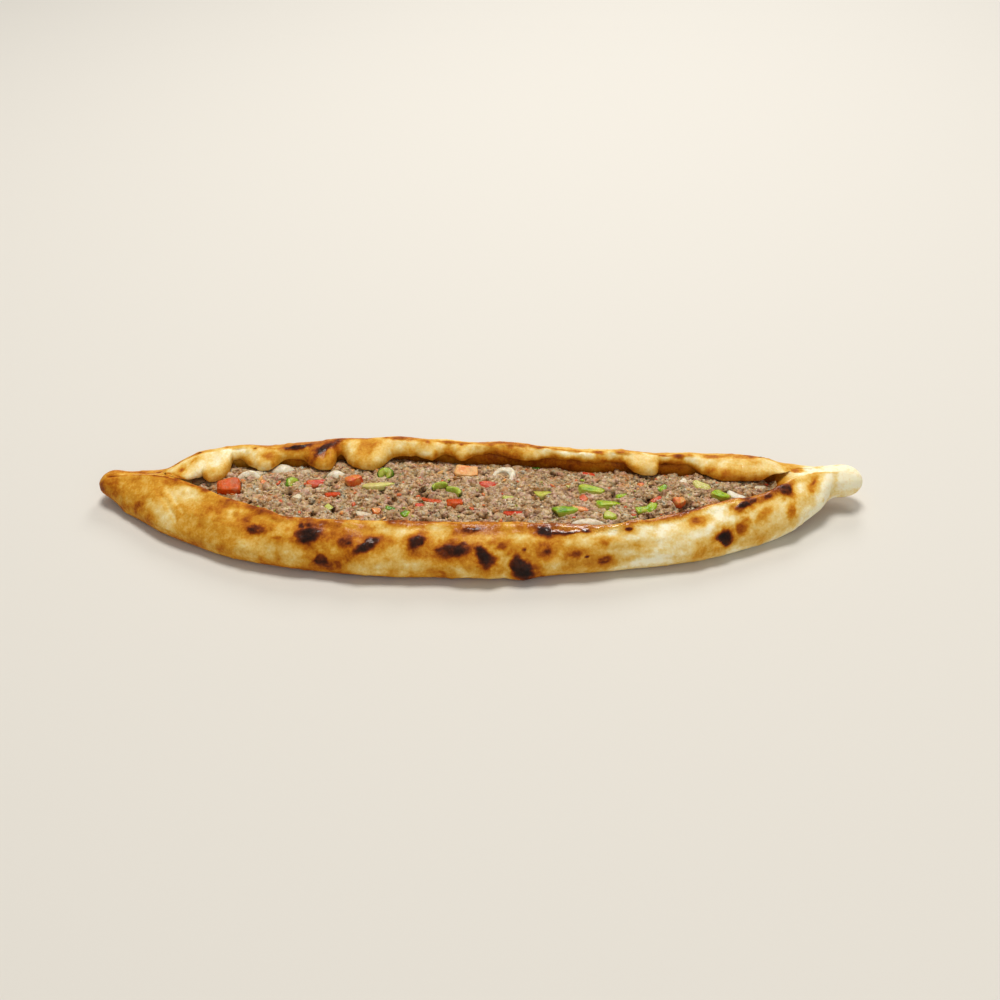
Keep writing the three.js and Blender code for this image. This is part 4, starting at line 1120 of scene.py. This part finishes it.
def cuppedPetal(size, cup):
    # a thin cupped shell, pointed at both ends
    t = closerAtEnds(26, 0.16)
    along = (mix(-0.5, 0.5, t) * size[0])[:, None]
    half = (0.5 * size[1] * np.sin(math.pi * t) ** 0.6)[:, None]
    across, up = roundSection(22, 2.4)
    lift = -cup * (2 * t[:, None] - 1) ** 2 - cup * 0.6 * across ** 2
    tall = 0.5 * size[2] * np.sin(math.pi * t)[:, None] ** 0.35
    grid = np.stack([along + 0 * across, across * half, up * tall + lift], axis=-1)
    side = np.broadcast_to(up, grid.shape[:2])
    points, faces = skinOf(grid, (-0.5 * size[0], 0, -cup), (0.5 * size[0], 0, -cup))
    return points, faces, np.append(side.ravel(), [0, 0])


def pieceShape(item):
    # points, faces and where its skin shows, from 0 to 1
    if item["shape"] == "slice":
        points, faces, side = ringSlice(item["radius"], item["sweep"], item["size"])
        return points, faces, smooth((side - 0.45) / 0.3)
    if item["shape"] == "petal":
        points, faces, side = cuppedPetal(item["size"], item["cup"])
        return points, faces, 0 * side
    points, faces, cube = cutBlock(item["size"], edgeSharpness[item["shape"]])
    skinFrom = 0.78
    if item["shape"] == "wedge":
        # thinner and narrower towards one end, and a little bent
        skinFrom = 0.45
        share = points[:, :1] / item["size"][0]
        points = points * np.hstack([1 + 0 * share, 1 - 0.5 * share, 1 - 0.6 * share])
        points[:, 1] += 0.5 * item["size"][1] * share[:, 0] ** 2
    skinSide = {"top": cube[:, 2], "side": -cube[:, 1], "none": 0 * cube[:, 2]}[item["skin"]]
    return points, faces, smooth((skinSide - skinFrom) / 0.2)


def knifeCuts(points, number):
    # a few flat facets, where the knife took a corner off
    draw = np.random.default_rng(500 + number)
    for _ in range(knifeFacets):
        way = draw.normal(size=3) * [1, 1, 0.7]
        way = way / np.linalg.norm(way)
        depth = points @ way
        limit = draw.uniform(0.74, 0.92) * depth.max()
        points = points - np.maximum(0, depth - limit)[:, None] * way
    return points


def placeOf(kind, number, item):
    # where the middle of a piece lies, and the node that it stands for
    if "at" in item:
        x = np.array([float(item["at"][0])])
        room = {key: value[0] for key, value in troughRoom(x).items()}
        return np.array([*item["at"], float(meatTop(x, item["at"][1], room)[0]) - 0.1]), []
    node = f"{kind}_{number}"
    low, high = (np.array(corner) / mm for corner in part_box(node))
    return (low + high) / 2 + [0, middleY, 0] + [*item.get("nudge", (0, 0)), 0], [node]


vegetableShapes = []


def choppedPiece(kind, number, item, material):
    points, faces, skin = pieceShape(item)
    faces = outward(points, faces)
    spot = points + 37.7 * number
    small = min(1, min(item["size"]) / 4)
    if item["shape"] in edgeSharpness:
        points = knifeCuts(points, number + len(kind))
        small = small * 0.7
    dent = 0.8 * softNoise(spot, 8, 79) + 0.5 * layeredNoise(spot, 3.8, 83)
    dent = dent + 0.16 * softNoise(spot, 1.3, 89)
    points = points + pointNormals(points, faces) * (small * dent)[:, None]
    turn, tilt = math.radians(item["turn"]), math.radians(item["tilt"])
    points = points @ np.array(Matrix.Rotation(turn, 3, "Z") @ Matrix.Rotation(tilt, 3, "X")).T
    place, nodes = placeOf(kind, number, item)
    points = points + place - (points.min(axis=0) + points.max(axis=0)) / 2
    vegetableShapes.append((points, faces))
    tone = np.clip(item["tone"] + 0.24 * layeredNoise(spot, 3.8, 97), 0, 1)
    piece = meshObject(f"{kind}Piece{number}", points, faces, material, {"skin": skin, "tone": tone})
    return kept(piece, f"{kind}_pieces", *nodes)


for kind, material in (("tomato", tomatoFlesh), ("pepper", pepperFlesh), ("onion", onionFlesh)):
    for number, item in enumerate(vegetables[kind], 1):
        choppedPiece(kind, number, item, material)
print("vegetables:", len(vegetableShapes), "pieces")


def hollowDepth(spot):
    # 1 in the middle of each small hollow between the crumbs, where the heap is painted dark as shade, and
    # 0 round it
    hollows = meat["hollows"]
    draw = np.random.default_rng(hollows["seed"])
    x = draw.uniform(meat["start"] + 14, meat["end"] - 12, hollows["count"])
    room = troughRoom(x)
    y = mix(room["front"] + 4, room["back"] - 3, draw.uniform(0, 1, hollows["count"]) ** 1.3)
    radii = draw.uniform(hollows["least"], hollows["most"], hollows["count"])
    bentX, bentY = (spot[..., i] + 1.1 * layeredNoise(spot, 3.2, seed) for i, seed in ((0, 91), (1, 95)))
    deep = np.zeros(spot.shape[:2])
    for hollowX, hollowY, radius in zip(x, y, radii):
        deep = np.maximum(deep, roundBell(np.hypot(bentX - hollowX, bentY - hollowY) / (1.6 * radius)))
    return deep


def bedUnderPieces(x, y):
    # for each place on the bed: the lowest height of a piece above it, and how far off the nearest piece is
    lowest, apart = np.full(x.shape, 99.0), np.full(x.shape, 99.0)
    for points, faces in vegetableShapes:
        (x0, y0, _), (x1, y1, _) = points.min(axis=0), points.max(axis=0)
        near = np.argwhere((x > x0 - 3) & (x < x1 + 3) & (y > y0 - 3) & (y < y1 + 3))
        shape = BVHTree.FromPolygons(points.tolist(), faces)
        for r, i in near:
            gap = np.hypot(points[:, 0] - x[r, i], points[:, 1] - y[r, i]).min()
            hit = shape.ray_cast(Vector((x[r, i], y[r, i], -50)), Vector((0, 0, 1)))[0]
            if hit:
                gap = 0
                lowest[r, i] = min(lowest[r, i], hit.z)
            apart[r, i] = min(apart[r, i], gap)
    return lowest, apart


def meatBed():
    x = np.linspace(meat["start"], meat["end"], int((meat["end"] - meat["start"]) / meat["step"]))
    room = {key: value[:, None] for key, value in troughRoom(x).items()}
    x = x[:, None]
    # the heap is drawn in towards its two ends
    squeeze = np.sqrt(np.clip(0.06 + np.minimum(x - meat["start"], meat["end"] - x) / 16, 0, 1))
    middle = mix(room["front"], room["back"], 0.5)
    y = mix(middle, mix(room["front"], room["back"], np.linspace(0, 1, meat["across"])), squeeze)
    wide = np.broadcast_to(x, y.shape)
    spot = np.stack([wide, y, 0 * y], axis=-1)
    top = meatTop(x, y, room) - meat["settled"] + 0.9 * layeredNoise(spot, 13, 33)
    crumbs = [lumps(spot, crumb["size"], crumb["seed"]) for crumb in meat["crumbs"]]
    for crumb, lump in zip(meat["crumbs"], crumbs):
        top = top + crumb["rise"] * lump
    # the heap's back edge climbs and falls along the recess
    share = (y - room["front"]) / (room["back"] - room["front"])
    top = top + 1.5 * layeredNoise(spot * [1, 0.3, 1], 15, 71) * smooth((share - 0.68) / 0.2)
    deep = hollowDepth(spot)
    top = top - meat["hollows"]["depth"] * deep
    # it stays under the lip and under every piece, and laps against the pieces' sides
    reach, edgeZ = lipAt(x)
    underLip = y - (lineAt("backCrest", x) - reach)
    top = np.where(underLip > -2, np.minimum(top, edgeZ - 0.9), top)
    lowest, apart = bedUnderPieces(wide, y)
    top = np.maximum(np.minimum(top, lowest - 0.25), room["floor"] + 1.5)
    top = top + 0.9 * smooth((2.8 - apart) / 2.8) * smooth(apart / 0.4)
    # how far the nearest thing is that a loose crumb has to keep clear of
    free = np.minimum.reduce([y - y[:, :1], y[:, -1:] - y, apart + 0.4, 1.5 - underLip,
                              0 * y + x - meat["start"] - 1, 0 * y + meat["end"] - 1 - x])
    free = np.where(deep > 0.25, 0, free)
    # the tone varies at random, and is painted paler on the lumps' tops and darker in the cracks and
    # hollows, as light and shade
    tone = 0.56 + 0.16 * layeredNoise(spot, 2.8, 63) + 0.45 * (crumbs[0] - 0.8) + 0.45 * (crumbs[1] - 0.8)
    tone = np.clip(tone - 0.66 * smooth(deep / 0.6), 0, 1)
    # its underside lies on the trough's floor
    below = [mix(middle, mix(room["frontLow"], room["backLow"], share), squeeze)
             for share in (1, 0.75, 0.5, 0.25, 0)]
    ringY = np.hstack([y, *below])
    ringZ = np.hstack([top, *[room["floor"] + 0 * b for b in below]])
    grid = np.stack([np.broadcast_to(x, ringY.shape), ringY, ringZ], axis=-1)
    underside = (0, 0), (0, len(below))
    fields = {"tone": np.pad(tone, underside), "free": np.pad(free, underside)}
    bed = closedSkin("mincedMeat", grid, grid[0].mean(axis=0), grid[-1].mean(axis=0), mince, fields)
    return kept(bed, "minced_meat", "minced_meat")


bed = meatBed()
print("meat bed:", len(bed.data.polygons), "faces")


def grains(count, seed, finer, stretch, rough):
    # lumpy crumbs, each a little different
    shapes = []
    for k in range(seed, seed + count):
        grain = bmesh.new()
        bmesh.ops.create_icosphere(grain, subdivisions=finer, radius=1)
        points, faces = pointsOf(grain)
        lump = 1 + rough * softNoise(points, 0.9, k) + 0.5 * rough * softNoise(points, 0.45, k + 50)
        shapes.append((points * lump[:, None] * np.array(stretch), faces))
    return shapes


def strand(seed):
    # a bent, ragged strand, pinched at both ends
    draw = np.random.default_rng(seed)
    t = np.linspace(0, 1, 6)[:, None]
    angle = np.linspace(0, 2 * math.pi, 6, endpoint=False)[None, :]
    bend = draw.uniform(-0.9, 0.9, 2)
    fat = 0.62 * (0.35 + 0.65 * np.sin(math.pi * (0.12 + 0.76 * t))) * draw.uniform(0.7, 1.25, (6, 6))
    grid = np.stack([3.6 * (t - 0.5) + 0 * angle, bend[0] * np.sin(math.pi * t) + fat * np.cos(angle),
                     0.6 * bend[1] * np.sin(2 * math.pi * t) + 0.8 * fat * np.sin(angle)], axis=-1)
    points, faces = skinOf(grid, grid[0].mean(axis=0) - [0.25, 0, 0], grid[-1].mean(axis=0) + [0.25, 0, 0])
    return points, outward(points, faces)


def scatterTree():
    # points spread over the bed where there is room, each given one of the loose shapes, turned and sized
    tree = bpy.data.node_groups.new("scatterOnBed", "GeometryNodeTree")
    sizes = "Spacing", "Most", "Clearance", "Smallest", "Largest", "Lift", "Darkest", "Palest", "Follow"
    kinds = {"Bed": "Geometry", **{name: "Float" for name in sizes}, "Seed": "Int", "Shapes": "Collection",
             "Finish": "Material"}
    sockets = {}
    for name, kind in kinds.items():
        socket = tree.interface.new_socket(name=name, in_out="INPUT", socket_type="NodeSocket" + kind)
        sockets[name] = socket.identifier
    tree.interface.new_socket(name="Loose", in_out="OUTPUT", socket_type="NodeSocketGeometry")
    given = addNode(tree, "NodeGroupInput", {}).outputs

    def named(field):
        node = addNode(tree, "GeometryNodeInputNamedAttribute", {"Name": field}, data_type="FLOAT")
        return node.outputs["Attribute"]

    def randomly(kind, low, high, step):
        # a random value for each point, from its own stretch of the seed
        first, out = {"FLOAT_VECTOR": (0, 0), "FLOAT": (2, 1), "INT": (4, 2)}[kind]
        seed = mathNode(tree, "ADD", given["Seed"], step)
        node = addNode(tree, "FunctionNodeRandomValue", {}, data_type=kind)
        fill(node, {first: low, first + 1: high, "Seed": seed})
        return node.outputs[out]

    roomy = addNode(tree, "FunctionNodeCompare", {0: named("free"), 1: given["Clearance"]},
                    data_type="FLOAT", operation="GREATER_THAN")
    spread = addNode(tree, "GeometryNodeDistributePointsOnFaces", {}, distribute_method="POISSON")
    fill(spread, {"Mesh": given["Bed"], "Selection": roomy.outputs[0], "Distance Min": given["Spacing"],
                  "Density Max": given["Most"], "Seed": given["Seed"]})
    lift = addNode(tree, "ShaderNodeCombineXYZ", {"Z": given["Lift"]})
    raised = addNode(tree, "GeometryNodeSetPosition",
                     {"Geometry": spread.outputs["Points"], "Offset": lift.outputs[0]})
    shapes = addNode(tree, "GeometryNodeCollectionInfo",
                     {"Collection": given["Shapes"], "Separate Children": True, "Reset Children": True})
    placed = addNode(tree, "GeometryNodeInstanceOnPoints", {
        "Points": raised.outputs[0], "Instance": shapes.outputs[0], "Pick Instance": True,
        "Instance Index": randomly("INT", 0, 99, 1),
        "Rotation": randomly("FLOAT_VECTOR", (-0.5, -0.5, 0), (0.5, 0.5, 6.28), 2),
        "Scale": randomly("FLOAT", given["Smallest"], given["Largest"], 3)})
    # a crumb takes its tone from the bed under it, painted shade and all, more or less
    blend = addNode(tree, "ShaderNodeMath", {}, operation="MULTIPLY_ADD")
    ownTone = randomly("FLOAT", given["Darkest"], given["Palest"], 4)
    fill(blend, {0: named("tone"), 1: given["Follow"], 2: ownTone})
    toned = addNode(tree, "GeometryNodeStoreNamedAttribute", {}, data_type="FLOAT", domain="INSTANCE")
    fill(toned, {"Geometry": placed.outputs[0], "Name": "tone", "Value": blend.outputs[0]})
    real = addNode(tree, "GeometryNodeRealizeInstances", {"Geometry": toned.outputs[0]})
    finish = addNode(tree, "GeometryNodeSetMaterial",
                     {"Geometry": real.outputs[0], "Material": given["Finish"]})
    addNode(tree, "NodeGroupOutput", {0: finish.outputs[0]})
    return tree, sockets


scatter, scatterSockets = scatterTree()


def scattered(name, slot, material, shapes, spacing, most, clearance, sizes, lift, tones, seed, follow=0.0):
    # the loose things of one kind, as one plain mesh
    choice = bpy.data.collections.new(name + "Shapes")
    for number, (points, faces) in enumerate(shapes):
        shapeName = f"{name}Shape{number}"
        choice.objects.link(bpy.data.objects.new(shapeName, newMesh(shapeName, points, faces)))
    host = newObject(name + "Host", bed.data)
    modifier = host.modifiers.new("scatter", "NODES")
    modifier.node_group = scatter
    settings = {
        "Spacing": spacing * mm, "Most": most, "Clearance": clearance, "Smallest": sizes[0],
        "Largest": sizes[1], "Lift": lift * mm, "Darkest": tones[0], "Palest": tones[1],
        "Follow": follow, "Seed": seed, "Shapes": choice, "Finish": material,
    }
    for key, value in settings.items():
        modifier[scatterSockets[key]] = value
    bpy.context.view_layer.update()
    mesh = bpy.data.meshes.new_from_object(host.evaluated_get(bpy.context.evaluated_depsgraph_get()))
    mesh.name = name
    host.modifiers.remove(modifier)
    bpy.data.objects.remove(host)
    for shape in list(choice.objects):
        bpy.data.meshes.remove(shape.data)
    bpy.data.collections.remove(choice)
    print(name + ":", len(mesh.polygons), "faces")
    return kept(newObject(name, mesh), slot)


# spacing, lift and sizes are in millimetres, and most is how many there are at most on a square metre
meatLoose = dict(slot="minced_meat", material=mince, follow=0.9)
looseKinds = {
    "coarseCrumbs": dict(
        shapes=grains(9, 0, 2, (1.2, 1.0, 0.75), 0.8), spacing=3.8, most=4e5, clearance=2.2,
        sizes=(1.2, 2.7), lift=-0.6, tones=(-0.24, 0.28), seed=4, **meatLoose),
    "meatStrands": dict(
        shapes=[strand(k) for k in range(9)], spacing=8, most=1e5, clearance=1.3,
        sizes=(0.6, 1.0), lift=0.1, tones=(-0.15, 0.3), seed=6, **meatLoose),
    "fineCrumbs": dict(
        shapes=grains(7, 20, 1, (1.2, 1.0, 0.8), 0.8), spacing=2.1, most=1.2e6, clearance=0.4,
        sizes=(0.45, 1.1), lift=-0.05, tones=(-0.25, 0.35), seed=9, **meatLoose),
    "tomatoBits": dict(
        slot="tomato_pieces", material=tomatoFlesh, shapes=grains(5, 40, 2, (1.4, 0.9, 0.5), 0.6),
        spacing=6, most=1.2e4, clearance=1.6, sizes=(0.4, 1.5), lift=0.3, tones=(0.4, 1.2), seed=12),
    "pepperBits": dict(
        slot="pepper_pieces", material=pepperFlesh, shapes=grains(5, 60, 2, (1.4, 0.9, 0.5), 0.6),
        spacing=7, most=6e3, clearance=1.6, sizes=(0.4, 1.1), lift=0.35, tones=(0.1, 0.9), seed=15),
    "onionBits": dict(
        slot="onion_pieces", material=onionFlesh, shapes=grains(5, 80, 2, (1.4, 1, 0.6), 0.6),
        spacing=6, most=8e3, clearance=1.6, sizes=(0.4, 1.2), lift=0.3, tones=(0.0, 0.8), seed=18),
    "herbSpecks": dict(
        slot="pepper_pieces", material=herbLeaf, shapes=grains(5, 90, 1, (1.5, 0.9, 0.4), 0.5),
        spacing=3, most=2.4e4, clearance=1.0, sizes=(0.25, 0.5), lift=0.5, tones=(0.0, 1.0), seed=21),
}
for name, kind in looseKinds.items():
    scattered(name, **kind)

# the studio, in metres, degrees and watts
studio = {
    "floor": dict(half=3.0, below=0.0002, colour=(214, 211, 204), roughness=0.8),
    "lamps": [
        dict(name="keyLight", place=(0.0, 0.68, 2.2), aim=(0, 0, 0), size=0.72, watts=38.5,
             colour=(1, 0.965, 0.91)),
        dict(name="fillLight", place=(0.5, -1.3, 0.75), aim=(0, 0, 0), size=1.4, watts=5.6,
             colour=(1, 0.96, 0.9)),
        dict(name="backLight", place=(0.5, 2.5, 1.8), aim=(0, 0, 0.01), size=1.0, watts=28,
             colour=(1, 0.98, 0.95)),
    ],
    "world": dict(colour=(1, 0.97, 0.93, 1), strength=0.3),
    "camera": dict(
        angle=46.0, down=36.6, turn=2.5735, roll=1.17, distance=0.71598, aim=(0.01422, 0.01939, 0)),
}


def stageFloor(half, below, colour, roughness):
    corners = [(x * half, y * half, -below) for x, y in ((-1, -1), (1, -1), (1, 1), (-1, 1))]
    mesh = bpy.data.meshes.new("paleFloor")
    mesh.from_pydata(corners, [], [(0, 1, 2, 3)])
    material, _, shader = newMaterial("paleFloor")
    fill(shader, {"Base Color": linear(colour), "Roughness": roughness})
    mesh.materials.append(material)
    newObject("paleFloor", mesh)


def areaLamp(name, place, aim, size, watts, colour):
    data = bpy.data.lights.new(name, "AREA")
    data.energy, data.size, data.color = watts, size, colour
    lamp = newObject(name, data)
    lamp.location = place
    lamp.rotation_euler = (Vector(aim) - Vector(place)).to_track_quat("-Z", "Y").to_euler()


def studioWorld(colour, strength):
    world = bpy.data.worlds.new("studio")
    world.use_nodes = True
    fill(world.node_tree.nodes["Background"], {"Color": colour, "Strength": strength})
    bpy.context.scene.world = world
    bpy.context.scene.view_settings.view_transform = "Standard"


def sceneCamera(angle, down, turn, roll, distance, aim):
    # looks at the aim from so many degrees up and to the side, rolled a little
    turn, down, roll = math.radians(turn), math.radians(down), math.radians(roll)
    right = Vector((math.cos(turn), math.sin(turn), 0))
    ahead = Vector((-math.sin(turn) * math.cos(down), math.cos(turn) * math.cos(down), -math.sin(down)))
    up = right.cross(ahead)
    across = right * math.cos(roll) - up * math.sin(roll)
    upright = right * math.sin(roll) + up * math.cos(roll)
    data = bpy.data.cameras.new("camera")
    data.sensor_fit = "HORIZONTAL"
    data.angle = math.radians(angle)
    data.clip_start = 0.01
    camera = newObject("camera", data)
    turned = Matrix((across, upright, -ahead)).transposed().to_4x4()
    camera.matrix_world = Matrix.Translation(Vector(aim) - ahead * distance) @ turned
    bpy.context.scene.camera = camera


stageFloor(**studio["floor"])
for lamp in studio["lamps"]:
    areaLamp(**lamp)
studioWorld(**studio["world"])
sceneCamera(**studio["camera"])
print("floor, light and camera ready")
